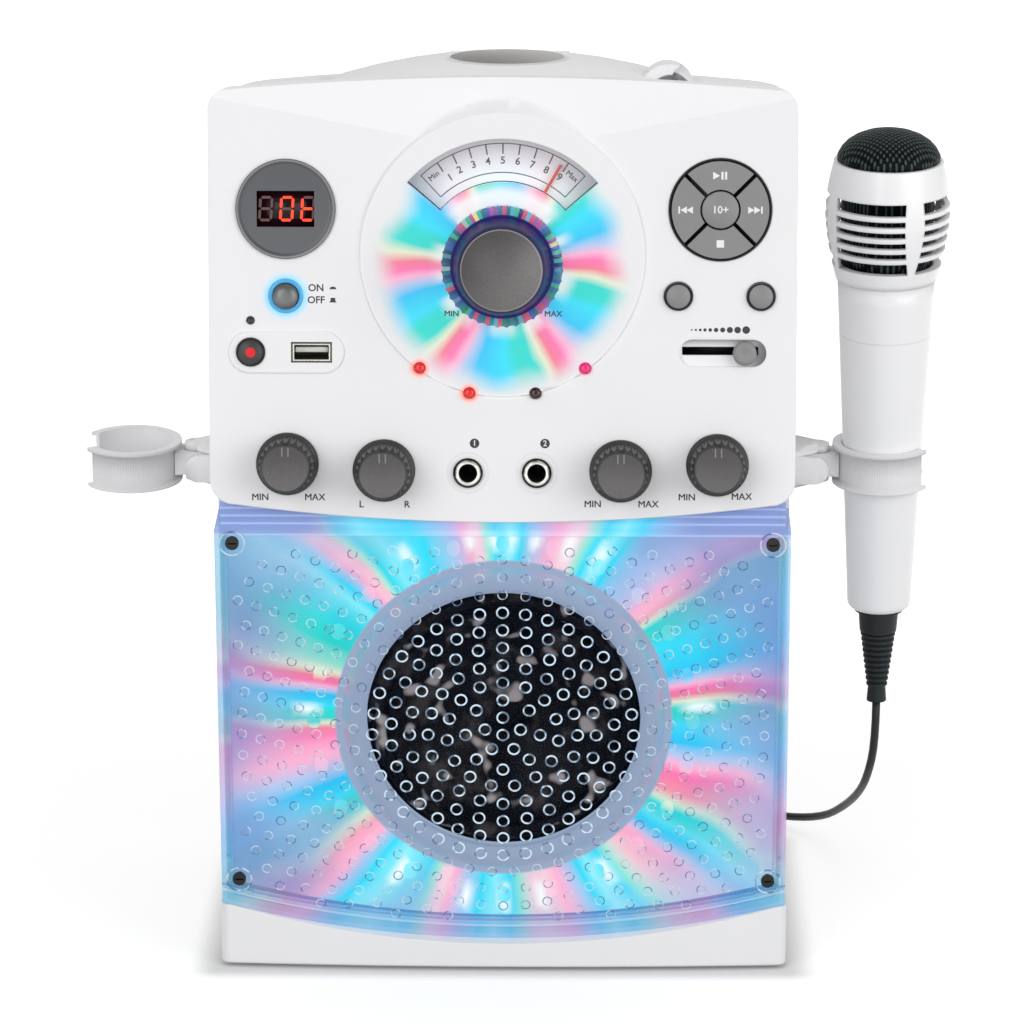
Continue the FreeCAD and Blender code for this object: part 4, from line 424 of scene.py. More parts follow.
def knob_light(skin, radius, angle):
    """Coloured light round the volume knob: its share of the panel's colour, and its tint."""
    sway = (skin.noise(45, 1) - 0.5) * skin.span(radius, 22, 46) * 0.05
    colour = light_round(skin, angle + sway, *KNOB_LAMPS)
    rays = skin.rays(angle, 15)
    fine = skin.noise(70, 2)
    upper = skin.span((angle * FULL_TURN).math("COSINE"), 0.6, 0.78)
    share = skin.fall(radius - rays * 7 - fine * 5, 31, 42) * skin.fall(radius, 45, 50)
    share = share * skin.fall(upper * skin.span(radius, 33, 35), 0, 1)
    hot = skin.span(radius + fine * 5, 24, 31, 0.9, 0) * skin.span(rays, 0.42, 0.6)
    hot = hot.math("MAXIMUM", upper * skin.span(radius, 25.5, 30, 0.9, 0.2))
    return share, skin.mix(hot, colour, (0.88, 0.90, 0.92))


def slider_shade(skin):
    """Shade at the upper right of the slider's sunk track."""
    along, high, out = axes(skin, PANEL, *SLIDER)
    track = skin.fall(out, -0.9, -0.4) * skin.fall(abs(along), 16.5, 17) * skin.fall(abs(high), 5, 5.3)
    right = skin.span(along, 6, 15, 0, 0.85)
    return track * right.math("MAXIMUM", skin.span(high, 1.5, 4.6, 0, 0.55))


def panel_plastic():
    """White plastic that catches the light of the volume knob, the power ring and the small lamps."""
    skin = glossy_white("panel_plastic", edge=0.8, Emission_Strength=0.64)
    radius, angle, across, up = polar(skin, PANEL, DIAL_V)
    share, tint = knob_light(skin, radius, angle)
    base = skin.mix(share, WHITE, skin.mix(0.57, tint, BLACK))
    glow = skin.mix(share, BLACK, tint)
    step, _, _, above = polar(skin, PANEL, BOSS_V)
    # A painted highlight along the lower part of the boss's edge wall.
    boss_wall_highlight = skin.line(step, BOSS_RADIUS, 0.6, 1.2) * skin.fall(above, -20, 20)
    glow = skin.mix(boss_wall_highlight * 0.1, glow, (0.9, 0.9, 0.92))
    for (x, v), inner, outer, lamp in PANEL_HALOS:
        patch = skin.fall(reach(across - x, up - (v - DIAL_V)), inner, outer)
        base = skin.mix(patch * 0.8, base, lamp)
        glow = skin.mix(patch * 0.8, glow, lamp)
    base = skin.mix(slider_shade(skin), base, (0.10, 0.10, 0.115))
    plate = reach(abs(across) - JACKS[1][0], up - (JACKS[1][1] - DIAL_V))
    base = skin.mix(skin.line(plate, JACK_PLATE, 0.1, 0.5) * 0.12, base, (0.3, 0.3, 0.32))
    return skin.feed(Base_Color=base, Emission_Color=glow)


def petals(skin, angle):
    """Colour of the light thrown past the speaker, by clockwise angle; strongest to the left and right."""
    uneven = skin.rays(angle, 17)
    aside = abs((angle * FULL_TURN).math("SINE"))
    deep = skin.span(aside + uneven * 0.3, 0.7, 1.1)
    return light_round(skin, angle + (uneven - 0.5) * 0.045, *COVER_LAMPS, deep)


def thrown_light(skin):
    """Petals of coloured light that fade into a lilac ground; also the radius and the angle."""
    radius, angle, _, _ = polar(skin, COVER, SPEAKER_V)
    sway = (skin.noise(22, 1) - 0.5) * skin.span(radius, 62, 110) * 0.045
    colour = petals(skin, angle + sway)
    rays = skin.rays(angle, 22)
    fade = skin.fall(radius - rays * 44, 48, 86)
    cloud = skin.span(skin.noise(11, 2), 0.35, 0.65)
    ground = skin.mix(cloud, (0.23, 0.26, 0.58), (0.38, 0.56, 0.78))
    pastel = skin.mix(0.22, ground, colour)
    return skin.mix(fade, pastel, colour), radius, angle


def reflector_light():
    """The reflector behind the cover: petals of coloured light, with bright lamp spots."""
    skin = Skin("reflector_light", Roughness=0.5, Specular_IOR_Level=0.1, Emission_Strength=0.97)
    lit, radius, angle = thrown_light(skin)
    cloud = skin.span(skin.noise(45, 3), 0.4, 0.7)
    deep = skin.mix(cloud * 0.3, lit, skin.mix(0.4, lit, (0, 0.10, 0.40)))
    spots = skin.add("ValToRGB", {"stops": spot_stops(LAMP_SPOTS)}, angle)
    top = skin.add("ValToRGB", {"stops": spot_stops(TOP_SPOTS)}, angle)
    level = skin.add("Mix", {"data_type": "RGBA", "blend_type": "LIGHTEN"}, Factor=1, output=2, A=spots, B=top)
    depth = skin.fall(abs(radius - LIGHT_RING - 4) + skin.noise(160) * 9, 6, 13)
    painted_highlight = skin.add("RGBToBW", {}, level) * depth
    bright = skin.mix(painted_highlight, deep, (0.93, 1, 1))
    ring = skin.fall(radius, FROST_RADIUS - 0.6, FROST_RADIUS + 0.6)
    shown = skin.mix(ring, bright, FROST)
    return skin.lit(shown, 0.9)


def frosted_ring():
    """Frosted ring round the speaker: blue-grey, catching a little of the petals' colour at its outer edge."""
    skin = Skin("frosted_ring", Roughness=0.6, Specular_IOR_Level=0.2, Emission_Strength=0.62)
    radius, angle, _, _ = polar(skin, COVER, SPEAKER_V)
    edge = skin.span(radius, 56, 61) * 0.25
    base = skin.mix(edge, skin.mottled(FROST, 0.06, 40), petals(skin, angle))
    return skin.lit(base, 0.6)


def lamp_lens():
    """Lamps of the light ring: each takes the colour of the petal it throws."""
    skin = Skin("lamp_lens", Roughness=0.5, Specular_IOR_Level=0.1, Emission_Strength=0.97)
    lit, _, _ = thrown_light(skin)
    shown = skin.mix(skin.noise(300) * 0.12, lit, (0.95, 1, 1))
    return skin.lit(shown, 0.9)


def clear_cover():
    """Clear speaker cover: nearly invisible on its face, full of painted light along its upper lip and its edges,
    with lines of painted shade along its foot and sides.
    """
    skin = Skin("clear_cover", Roughness=0.06, Coat_Weight=0.2, Coat_Roughness=0.03, IOR=1.45,
                    Emission_Strength=0.45)
    _, angle, across, up = polar(skin, COVER, SPEAKER_V)
    high = up + SPEAKER_V
    aside = abs(across)
    colour = petals(skin, angle)
    lip = skin.span(high, -6.4, -5.4)
    stripes = skin.span((high * 2.1 + skin.noise(30) * 0.8).math("SINE"), 0.2, 1)
    blue = skin.mix(stripes, (0.21, 0.28, 0.56), (0.40, 0.50, 0.76))
    upper = skin.mix(skin.span(aside, 48, 74, 0.9, 0), blue, colour)
    low = high - across * across * COVER_BOW + COVER_FOOT
    depth = low.math("MINIMUM", COVER_SIDE - aside)
    rim = skin.fall(depth, 1.6, 2.4)
    band = skin.fall(depth, 4.4, 4.8)
    # Along the foot and the sides, the pale line and the rim are painted highlights and the dark lines are painted
    # shade of the clear edges.
    line = skin.line(depth, 4.6, 0.1, 0.5)
    pale = skin.line(low, 5.6, 0.2, 0.7)
    dark = skin.line(low, 7.8, 0.2, 0.8)
    frame_tone = skin.mix(0.75, (0.30, 0.40, 0.74), colour)
    frame_lit = skin.mix(rim, frame_tone, skin.mix(0.5, (0.45, 0.52, 0.80), colour))
    edged = skin.mix(line * 0.5, frame_lit, (0.14, 0.20, 0.58))
    bottom = skin.mix(dark * 0.85, skin.mix(pale * 0.7, edged, (0.85, 0.95, 1)), (0.03, 0.10, 0.42))
    base = skin.mix(lip, bottom, upper)
    foot = (pale * 0.55).math("MAXIMUM", dark * 0.6).math("MAXIMUM", skin.span(low, 7, 9, 0.55, 0))
    edge = (band * 0.4 + rim * 0.2).math("MAXIMUM", line * 0.4).math("MAXIMUM", foot)
    cover = (lip * 0.78).math("MAXIMUM", edge)
    normal = skin.relief(skin.noise(120), 0.1, 0.05, skin.edge(0.6))
    return skin.feed(Base_Color=skin.mix(cover, (0.2, 0.3, 0.6), base), Alpha=cover + skin.noise(40) * 0.012,
                       Emission_Color=skin.mix(cover, BLACK, base), Normal=normal)


def jack_parts():
    """Jacks: black nut, bright bush, dark bore."""
    skin = Skin("jack_parts", Roughness=0.28)
    across, up, out = axes(skin, PANEL, 0, JACKS[0][1])
    radius = reach(abs(across) - JACKS[1][0], up)
    bush = skin.span(radius, 3.3, 3.5) * skin.fall(radius, 4.55, 4.7) * skin.span(out, 0, 0.4)
    bright = skin.mottled((0.72, 0.70, 0.66), 0.25, 500)
    base = skin.mix(bush, (0.006, 0.006, 0.007), bright)
    return skin.feed(Base_Color=base, Metallic=bush, Normal=skin.edge(0.5))


def usb_parts():
    """USB port: bright shell, white tongue, and painted shade inside the slot."""
    skin = Skin("usb_parts", Roughness=0.25)
    across, up, out = axes(skin, PANEL, *USB)
    sides = skin.span(abs(across), 6.2, 6.3).math("MAXIMUM", skin.span(abs(up), 2.6, 2.65))
    shell = sides * skin.span(out, -0.6, 0.2)
    tongue = skin.span(up, -0.2, 0) * skin.span(out, -2.5, -0.8)
    # Inside the slot, away from the tongue, a dark colour stands for painted shade.
    inside = skin.mix(tongue, (0.03, 0.026, 0.022), skin.mottled((0.80, 0.80, 0.78), 0.05, 300))
    base = skin.mix(shell, inside, (0.66, 0.62, 0.55))
    return skin.feed(Base_Color=base, Metallic=shell, Normal=skin.edge(0.25))


def clear_window():
    """Thin clear plastic: see-through, with a slight tint and a bright reflection."""
    skin = Skin("clear_window", Roughness=0.05, Coat_Weight=0.3, Coat_Roughness=0.03, IOR=1.45)
    haze = skin.noise(30) * 0.04
    normal = skin.relief(skin.noise(120), 0.12, 0.05, skin.edge(0.3))
    return skin.feed(Base_Color=skin.mottled((0.85, 0.88, 0.92), 0.05, 50), Alpha=haze + 0.03, Normal=normal)


def glowing(name, colour, strength, rough=0.3):
    skin = Skin(name, Roughness=rough, Emission_Strength=strength)
    drift = skin.mottled(colour, 0.12, 400)
    return skin.feed(Base_Color=drift, Emission_Color=drift)


def lit_arcs(name, dark, light, strength, alpha):
    """Thin moulded rings: part of each catches the light, and part is dark."""
    skin = Skin(name, Roughness=0.15, Emission_Strength=strength, Alpha=alpha)
    tone = skin.mix(skin.span(skin.noise(300, 1), 0.38, 0.56), dark, light)
    return skin.feed(Base_Color=tone, Emission_Color=tone)


def plastic(name, colour, roughness, edge=0.4, grain=1500, depth=0.02, gloss=0.5, spread=0.06):
    return Skin(name, Specular_IOR_Level=gloss).moulded(colour, roughness, edge, grain, depth, spread)


def metal(name, colour, roughness):
    skin = Skin(name, Metallic=1)
    scuffs = skin.noise(300, 3)
    normal = skin.relief(scuffs, 0.05, 0.01, skin.edge(0.2))
    base = skin.mottled(colour, 0.08, 150)
    return skin.feed(Base_Color=base, Roughness=scuffs * 0.2 + roughness, Normal=normal)


def woven_mesh():
    """Woven wire over the microphone's head: two sets of wires crossing in slanted turns."""
    skin = Skin("woven_mesh", Metallic=0.2, Roughness=0.45, Specular_IOR_Level=0.12)
    across, deep, _ = axes(skin, MICROPHONE)
    wave = FULL_TURN / MESH_PITCH
    weave = (across * wave).math("SINE") * (deep * wave).math("SINE")
    height = skin.span(weave + skin.noise(400) * 0.5, -0.2, 0.9)
    wire = skin.span(height, 0.6, 1)
    base = skin.mix(wire, (0.0006, 0.001, 0.0015), (0.05, 0.075, 0.08))
    return skin.feed(Base_Color=base, Normal=skin.relief(height, 0.9, 0.3))


def dial_print():
    """Pale dial: lit from the knob side, greyer to its ends."""
    skin = Skin("dial_print", Roughness=0.5, Emission_Strength=0.25)
    radius, _, across, _ = polar(skin, PANEL, DIAL_V)
    fade = skin.span(radius, 31, 45)
    tone = skin.mix(fade, (0.78, 0.78, 0.80), (0.52, 0.47, 0.51))
    shade = skin.mix(skin.span(abs(across), 16, 36), tone, (0.40, 0.40, 0.43))
    return skin.feed(Base_Color=shade, Emission_Color=skin.mix(skin.noise(60) * 0.2, shade, (0.9, 0.9, 0.9)))


def speckled(skin, share, dark, light):
    """Two speckled greys, mixed by a share."""
    return skin.mix(share, *(skin.mottled(grey, 0.3, 1500) for grey in (dark, light)))


def knob_body():
    """Volume knob: brushed grey face with painted light, lighter towards the lower right, and a painted highlight
    round its edge; dark violet sides.
    """
    skin = Skin("knob_body", Specular_IOR_Level=0.3)
    skin.moulded((0.13, 0.125, 0.12), 0.42, 0.3, 2200, 0.05, 0.08)
    radius, _, across, up = polar(skin, PANEL, DIAL_V)
    ring = skin.span(radius, 14.7, 14.9)
    glow = skin.span(radius, 15.7, 18.4)
    side = skin.mix(glow, (0.007, 0.005, 0.07), (0.014, 0.010, 0.15))
    # Painted light: the grey face is lighter towards the lower right.
    slant = skin.span(across - up + skin.noise(60) * 8, -14, 22)
    grey = speckled(skin, slant, (0.07, 0.067, 0.066), (0.19, 0.18, 0.18))
    # A painted highlight round the edge of the grey face.
    bright = skin.line(radius, 14.45, 0.05, 0.3)
    face = skin.mix(bright * 0.6, grey, (0.40, 0.39, 0.39))
    return skin.feed(Base_Color=skin.mix(ring, face, side))


def knob_face():
    """Faces of the small knobs: speckled grey, with painted light that makes them lighter towards the bottom."""
    skin = Skin("knob_face", Roughness=0.5)
    _, up, _ = axes(skin, PANEL, 0, KNOBS[0][1])
    # Painted light: lighter towards the bottom.
    light = skin.fall(up + skin.noise(60) * 5, -6, 10)
    grey = speckled(skin, light, (0.052, 0.048, 0.05), (0.115, 0.108, 0.112))
    return skin.feed(Base_Color=grey, Normal=skin.relief(skin.noise(1800), 0.3, 0.05))


def skirt_crystal():
    """Clear faceted skirt of the volume knob: each facet shows its own colour of painted light, paler towards the
    outer edge.
    """
    skin = Skin("skirt_crystal", Roughness=0.12, Coat_Weight=0.15, Emission_Strength=0.2, IOR=1.49,
                    Specular_IOR_Level=0.3)
    radius, angle, _, _ = polar(skin, PANEL, DIAL_V)
    facet = (angle * SKIRT_FACETS).math("FLOOR")
    dice = skin.add("TexWhiteNoise", {"noise_dimensions": "1D"}, W=facet)
    stops = ((0, (0.03, 0.02, 0.16)), (0.22, (0.02, 0.22, 0.20)), (0.42, (0.04, 0.10, 0.42)),
             (0.56, (0.62, 0.08, 0.12)), (0.68, (0.22, 0.10, 0.40)), (0.80, (0.04, 0.42, 0.26)),
             (0.92, (0.10, 0.36, 0.55)), (0.98, (0.75, 0.65, 0.25)))
    # Each facet's colour is painted light, one colour picked at random per facet.
    own = skin.add("ValToRGB", {"stops": stops}, dice)
    # Painted light, paler towards the outer edge.
    rim = skin.span(radius, 19, 22)
    shown = skin.mix(rim * 0.25, own, skin.mix(0.5, own, (0.35, 0.62, 0.72)))
    core = skin.mix(skin.span(radius, 18.5, 19), (0.012, 0.009, 0.14), shown)
    return skin.feed(Base_Color=core, Emission_Color=core)


def bezel_dish():
    """Round display frame: a dished face with a raised rim; painted shade darkens the face towards the top and in
    the groove inside the rim, and a painted highlight lies on the rim.
    """
    skin = Skin("bezel_dish", Coat_Weight=0.3, Coat_Roughness=0.1, Roughness=0.3)
    across, up, _ = axes(skin, PANEL, *DISPLAY)
    radius = reach(across, up)
    # Painted shade in the groove inside the rim, and a painted highlight along the rim.
    groove_shade = skin.line(radius, 16.6, 0.1, 0.7)
    painted_highlight = skin.line(radius, 17.5, 0, 0.5)
    # Painted shade of the dish: darker towards the top.
    tone = skin.mix(skin.span(up, -16, 16), (0.100, 0.103, 0.115), (0.083, 0.085, 0.094))
    dark = skin.mix(groove_shade * 0.75, tone, (0.03, 0.03, 0.035))
    normal = skin.relief(skin.span(radius, 15.8, 17.6), 0.6, 0.6, skin.edge(0.4))
    return skin.feed(Base_Color=skin.mix(painted_highlight * 0.5, dark, (0.40, 0.40, 0.42)), Normal=normal)


def cone_paper():
    """Speaker cone: black, with grey-brown glints where light comes through the cover."""
    skin = Skin("cone_paper", Roughness=0.3, Specular_IOR_Level=0.05)
    patch = skin.span(skin.noise(75, 3, 0.6), 0.50, 0.74)
    glint = skin.span(skin.noise(110, 1, 0.5), 0.60, 0.72)
    dull = skin.mix(patch, (0.0008, 0.0008, 0.0012), (0.045, 0.038, 0.037))
    base = skin.mix(glint, dull, (0.38, 0.34, 0.34))
    return skin.feed(Base_Color=base, Normal=skin.relief(skin.noise(200), 0.3, 0.2))


def smoked_window():
    """Window over the disc: grey-brown, with a painted sheen of reflected light across it."""
    skin = Skin("smoked_window", Roughness=0.2, Specular_IOR_Level=0.15)
    # The painted sheen: lighter towards the right and the back.
    sheen = skin.span(skin.dot(LID_WINDOW, (1, 0.6, 0)), -22, 22)
    base = skin.mix(sheen, (0.13, 0.115, 0.10), (0.36, 0.34, 0.32))
    return skin.feed(Base_Color=base)


SKINS = {
    "white": glossy_white("white_plastic"),
    "lid": lid_plastic(),
    "microphone": microphone_plastic(),
    "panel": panel_plastic(),
    "clip": plastic("clip_plastic", (0.83, 0.825, 0.84), 0.4, 0.5, 500, 0.01),
    "clear": clear_cover(),
    "window": clear_window(),
    "dimple": lit_arcs("dimple_rim", (0.10, 0.18, 0.42), (0.82, 0.93, 1), 0, 0.5),
    "skirt": skirt_crystal(),
    "smoked": smoked_window(),
    "reflector": reflector_light(),
    "frosted": frosted_ring(),
    "lamp": lamp_lens(),
    "rim": lit_arcs("hole_rim", (0.11, 0.17, 0.25), (0.58, 0.72, 0.84), 0.25, 1),
    "cone": cone_paper(),
    "black": plastic("black_plastic", (0.006, 0.006, 0.007), 0.45, 0.3, gloss=0.25),
    "rubber": plastic("cord_rubber", (0.012, 0.013, 0.015), 0.42, 0.2, 900, 0.03, 0.35, 0.15),
    "boot": plastic("boot_rubber", (0.008, 0.012, 0.014), 0.5, 0.3, 900, 0.03, gloss=0.3),
    "dial": dial_print(),
    "red": glowing("pointer_red", (0.55, 0.05, 0.03), 0.25),
    "knob": plastic("knob_grey", (0.026, 0.025, 0.026), 0.42, 0.5),
    "volume": knob_body(),
    "cap": knob_face(),
    "notch": plastic("knob_notch", (0.21, 0.20, 0.21), 0.5, 0.1),
    "button": plastic("button_grey", (0.235, 0.232, 0.237), 0.42, 0.35, 2600, 0.03),
    "navy": glowing("skirt_core", (0.012, 0.010, 0.09), 0.3),
    "frame": plastic("frame_dark", (0.016, 0.016, 0.018), 0.45, 0.3, gloss=0.3),
    "bezel": bezel_dish(),
    "display": plastic("display_dark", (0.012, 0.002, 0.004), 0.15, 0.2, gloss=0.2),
    "lit": glowing("digit_lit", (1, 0.045, 0.01), 1),
    "unlit": plastic("digit_unlit", (0.10, 0.045, 0.042), 0.4, 0.1),
    "jack": jack_parts(),
    "usb": usb_parts(),
    "steel": metal("bright_steel", (0.66, 0.67, 0.69), 0.18),
    "screw": metal("dark_screw", (0.035, 0.034, 0.033), 0.3),
    "dome": metal("power_dome", (0.15, 0.155, 0.155), 0.32),
    "ring": glowing("power_ring", (0.06, 0.30, 0.55), 0.4),
    "alert": glowing("indicator_red", (0.62, 0.010, 0.014), 0.3, 0.12),
    "pinkish": glowing("indicator_pink", (0.66, 0.010, 0.14), 0.3, 0.12),
    "dim": plastic("indicator_dark", (0.03, 0.004, 0.005), 0.12, 0.2),
    "mesh": woven_mesh(),
    "board": plastic("board_dark", (0.004, 0.010, 0.006), 0.5, 0.3, gloss=0.2),
    "ink": plastic("printed_ink", (0.030, 0.030, 0.034), 0.6, 0.05),
    "pale": plastic("printed_white", (0.82, 0.82, 0.84), 0.5, 0.05),
}

# Every CAD node, by its skin.
NODE_SKIN = {
    "white": ("rear_cabinet", "base_plinth"),
    "lid": ("cd_lid",),
    "microphone": ("mic_handle", "mic_head"),
    "panel": ("front_panel",),
    "clip": ("clip_brackets", "mic_clip_left", "mic_clip_right"),
    "clear": ("speaker_cover",),
    "window": ("dial_window",),
    "skirt": ("volume_knob_ring",),
    "smoked": ("lid_window",),
    "reflector": ("speaker_baffle",),
    "frosted": ("baffle_ring",),
    "lamp": ("disco_leds",),
    "cone": ("speaker_cone",),
    "black": ("rubber_feet", "disc_deck", "spindle_hub", "pickup_sled", "rear_sockets", "cord_tie", "speaker_frame"),
    "jack": ("mic_jacks",),
    "usb": ("usb_port",),
    "boot": ("mic_boot",),
    "dial": ("dial_plate",),
    "red": ("volume_pointer",),
    "volume": ("volume_knob",),
    "screw": ("cover_screws",),
    "knob": ("record_button", "voice_knob", "balance_knob", "echo_knob", "mic_volume_knob"),
    "button": ("play_button", "previous_button", "next_button", "stop_button", "skip_button", "source_button",
               "repeat_button", "light_slider"),
    "frame": ("pad_frame",),
    "bezel": ("display_bezel",),
    "display": ("display_module",),
    "steel": ("lid_hinge_pins", "pickup_rails", "spindle_motor", "speaker_magnet", "mic_plug"),
    "dome": ("power_button",),
    "ring": ("power_ring",),
    "dim": ("indicator_leds",),
    "mesh": ("mic_mesh",),
    "board": ("control_board", "main_board"),
}

# Angle from which an edge stays sharp, where it is not 30 degrees.
SHARP = {"front_panel": 14, "cd_lid": 24, "base_plinth": 20, "rear_cabinet": 20}
# Pieces with wide flat faces beside narrow rounded ones, shaded by face area.
FLAT_FACED = ("front_panel", "speaker_cover", "display_bezel")


def add_object(name, data):
    made = bpy.data.objects.new(name, data)
    bpy.context.scene.collection.objects.link(made)
    return made


def mesh_of(bm, name="mark"):
    mesh = bpy.data.meshes.new(name)
    bm.to_mesh(mesh)
    bm.free()
    return mesh


def mesh_of_curve(curve):
    """The mesh of a curve, which itself leaves the scene."""
    holder = add_object(curve.name, curve)
    graph = bpy.context.evaluated_depsgraph_get()
    mesh = bpy.data.meshes.new_from_object(holder.evaluated_get(graph))
    bpy.data.objects.remove(holder)
    return mesh


def smooth_object(name, bm, material):
    mesh = mesh_of(bm, name)
    for polygon in mesh.polygons:
        polygon.use_smooth = True
    mesh.materials.append(material)
    return add_object(name, mesh)


def keep(name, bm, skin, body, smooth=35):
    """Turn a bmesh into a piece that rides on a body."""
    piece = smooth_object(name, bm, SKINS[skin].material)
    piece.data.set_sharp_from_angle(angle=math.radians(smooth))
    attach(piece, body)
    return piece


def dressed(node, skin):
    """A copy of a CAD node with its facets merged, so that round faces shade as round."""
    source = frame["nodes"][node]
    bm = bmesh.new()
    bm.from_mesh(source.data)
    bmesh.ops.remove_doubles(bm, verts=bm.verts, dist=0.002 * MM)
    piece = keep(f"{node}_shell", bm, skin, source["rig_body"], SHARP.get(node, 30))
    if node in FLAT_FACED:
        merge = piece.modifiers.new("merge", "DECIMATE")
        merge.decimate_type = "DISSOLVE"
        merge.angle_limit = math.radians(0.4)
        merge.delimit = {"SHARP"}
        flat = piece.modifiers.new("flat", "WEIGHTED_NORMAL")
        flat.weight = 90
        flat.keep_sharp = True
    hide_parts(node)


def dress_nodes():
    for skin, nodes in NODE_SKIN.items():
        for node in nodes:
            dressed(node, skin)


# Strokes of words are made bolder by an offset, or by a second stamp where an offset would fill an M.
STROKE_OFFSET = 0.017
STROKE_STEP = 0.018


class Print:
    """Flat marks on the panel, gathered into one piece."""

    def __init__(self):
        self.bm = bmesh.new()

    def stamp(self, mesh, x, v, w, turn=0):
        spin = Matrix.Rotation(math.radians(-turn), 4, "Z")
        mesh.transform(PANEL @ Matrix.Translation((x, v, w)) @ spin)
        self.bm.from_mesh(mesh)
        bpy.data.meshes.remove(mesh)

    def words(self, text, x, v, w, size, turn=0):
        curve = bpy.data.curves.new("words", "FONT")
        curve.body = text
        curve.size = size
        curve.offset = 0 if "M" in text else STROKE_OFFSET * size
        curve.align_x = "CENTER"
        curve.align_y = "CENTER"
        curve.resolution_u = 3
        mesh = mesh_of_curve(curve)
        if "M" in text:
            mesh.transform(Matrix.Translation((-STROKE_STEP * size, 0, 0)))
            self.stamp(mesh.copy(), x, v, w, turn)
            mesh.transform(Matrix.Translation((2 * STROKE_STEP * size, 0, 0.005)))
        self.stamp(mesh, x, v, w, turn)

    def shape(self, corners, x, v, w, turn=0):
        """A flat outline with its corners in order."""
        flat = bmesh.new()
        flat.faces.new([flat.verts.new((*corner, 0)) for corner in corners])
        self.stamp(mesh_of(flat), x, v, w, turn)

    def disc(self, radius, x, v, w, sides=24):
        flat = bmesh.new()
        bmesh.ops.create_circle(flat, cap_ends=True, segments=sides, radius=radius)
        self.stamp(mesh_of(flat), x, v, w)

    def bar(self, wide, tall, x, v, w, turn=0):
        corners = ((-wide / 2, -tall / 2), (wide / 2, -tall / 2), (wide / 2, tall / 2), (-wide / 2, tall / 2))
        self.shape(corners, x, v, w, turn)

    def done(self, name, skin, body):
        keep(name, self.bm, skin, body)


def round_dial(radius, angle):
    """A place on the dial, by radius and clockwise angle in degrees."""
    turn = math.radians(angle)
    return radius * math.sin(turn), DIAL_V + radius * math.cos(turn)


# Digits of the dial that stand clear of their tick: depth under the scale's edge and a turn in degrees.
DIGIT_SHIFTS = {1: (7, 1.6)}


def print_dial():
    ink = Print()
    w = DIAL_PRINT_W
    for number in range(1, 10):
        angle = SCALE_STEP * (number - 5)
        x, v = round_dial(SCALE_OUTER - 1.9, angle)
        ink.bar(0.5, 3.8, x, v, w, angle)
        deep, aside = DIGIT_SHIFTS.get(number, (6.2, 0))
        x, v = round_dial(SCALE_OUTER - deep, angle + aside)
        ink.words(str(number), x, v, w, 3.7, angle)
    half = math.sin(math.radians(SCALE_HALF_ANGLE / SCALE_PARTS))
    for radius in (SCALE_OUTER, SCALE_INNER):
        for part in range(SCALE_PARTS):
            angle = SCALE_HALF_ANGLE * ((2 * part + 1) / SCALE_PARTS - 1)
            x, v = round_dial(radius, angle)
            ink.bar(2 * radius * half + 0.1, SCALE_LINE, x, v, w, angle)
    for side, word in ((-1, "Min"), (1, "Max")):
        x, v = round_dial((SCALE_OUTER + SCALE_INNER) / 2, side * SCALE_HALF_ANGLE)
        ink.bar(SCALE_LINE, SCALE_OUTER - SCALE_INNER, x, v, w, side * SCALE_HALF_ANGLE)
        x, v = round_dial(SCALE_OUTER - 3.2, side * (SCALE_HALF_ANGLE - 4.8))
        ink.words(word, x, v, w, 2.9, side * (SCALE_HALF_ANGLE - 3))
    ink.done("dial_scale", "ink", "cabinet")


# Words on the panel: place, height above the panel and size.
PANEL_WORDS = (
    ("MIN", -18.4, 76.3, BOSS_W, 3), ("MAX", 18.4, 76.3, BOSS_W, 3),
    ("ON", -67.5, 85.4, 0, 3.6), ("OFF", -67.5, 81, 0, 3.6),
    ("MIN", -88.1, 9, 0, 3.5), ("MAX", -68.2, 9, 0, 3.5),
    ("L", -51.3, 6.5, 0, 3.5), ("R", -34.7, 6.5, 0, 3.5),
    ("MIN", 32.9, 6.8, 0, 3.5), ("MAX", 53.1, 6.8, 0, 3.5),
    ("MIN", 67.1, 9.4, 0, 3.5), ("MAX", 87, 9.7, 0, 3.5),
)
JACK_NUMBERS = ((-10.1, 29), (15.5, 29))
DOT_V = 70.6
DOTS = ((68.5, 0.3), (70, 0.4), (71.6, 0.5), (73.3, 0.6), (75.2, 0.65), (77.3, 0.8), (79.7, 0.9), (82.3, 1.1),
        (85.1, 1.2), (88.2, 1.4))


def print_panel():
    ink = Print()
    lift = PRINT_LIFT
    for word, x, v, w, size in PANEL_WORDS:
        ink.words(word, x, v, w + lift, size)
    ink.shape(((-1.3, -0.4), (1.3, -0.4), (0.9, 0.3), (0.3, 0.55), (-0.3, 0.55), (-0.9, 0.3)), -61.4, 85.4, lift)
    ink.shape(((-1.3, -0.8), (1.3, -0.8), (0.9, -0.2), (0.8, 0.9), (-0.8, 0.9), (-0.9, -0.2)), -61.4, 81, lift)
    for x, v in JACK_NUMBERS:
        ink.disc(1.75, x, v, lift)
    for side in (-1, 1):
        ink.bar(14.9, 0.6, USB[0], USB[1] + side * 3.45, 0.56)
        ink.bar(0.6, 6.4, USB[0] + side * 7.1, USB[1], 0.56)
    for x, radius in DOTS:
        ink.disc(radius, x, DOT_V, lift, 16)
    ink.done("panel_marks", "ink", "cabinet")
    pale = Print()
    for number, (x, v) in enumerate(JACK_NUMBERS, start=1):
        pale.words(str(number), x, v, 2 * lift, 2.9)
    pale.done("jack_numbers", "pale", "cabinet")


def triangle(size, direction):
    """A sign that points right or left."""
    tip = 0.45 * size * direction
    return (-tip, -0.5 * size), (tip, 0), (-tip, 0.5 * size)


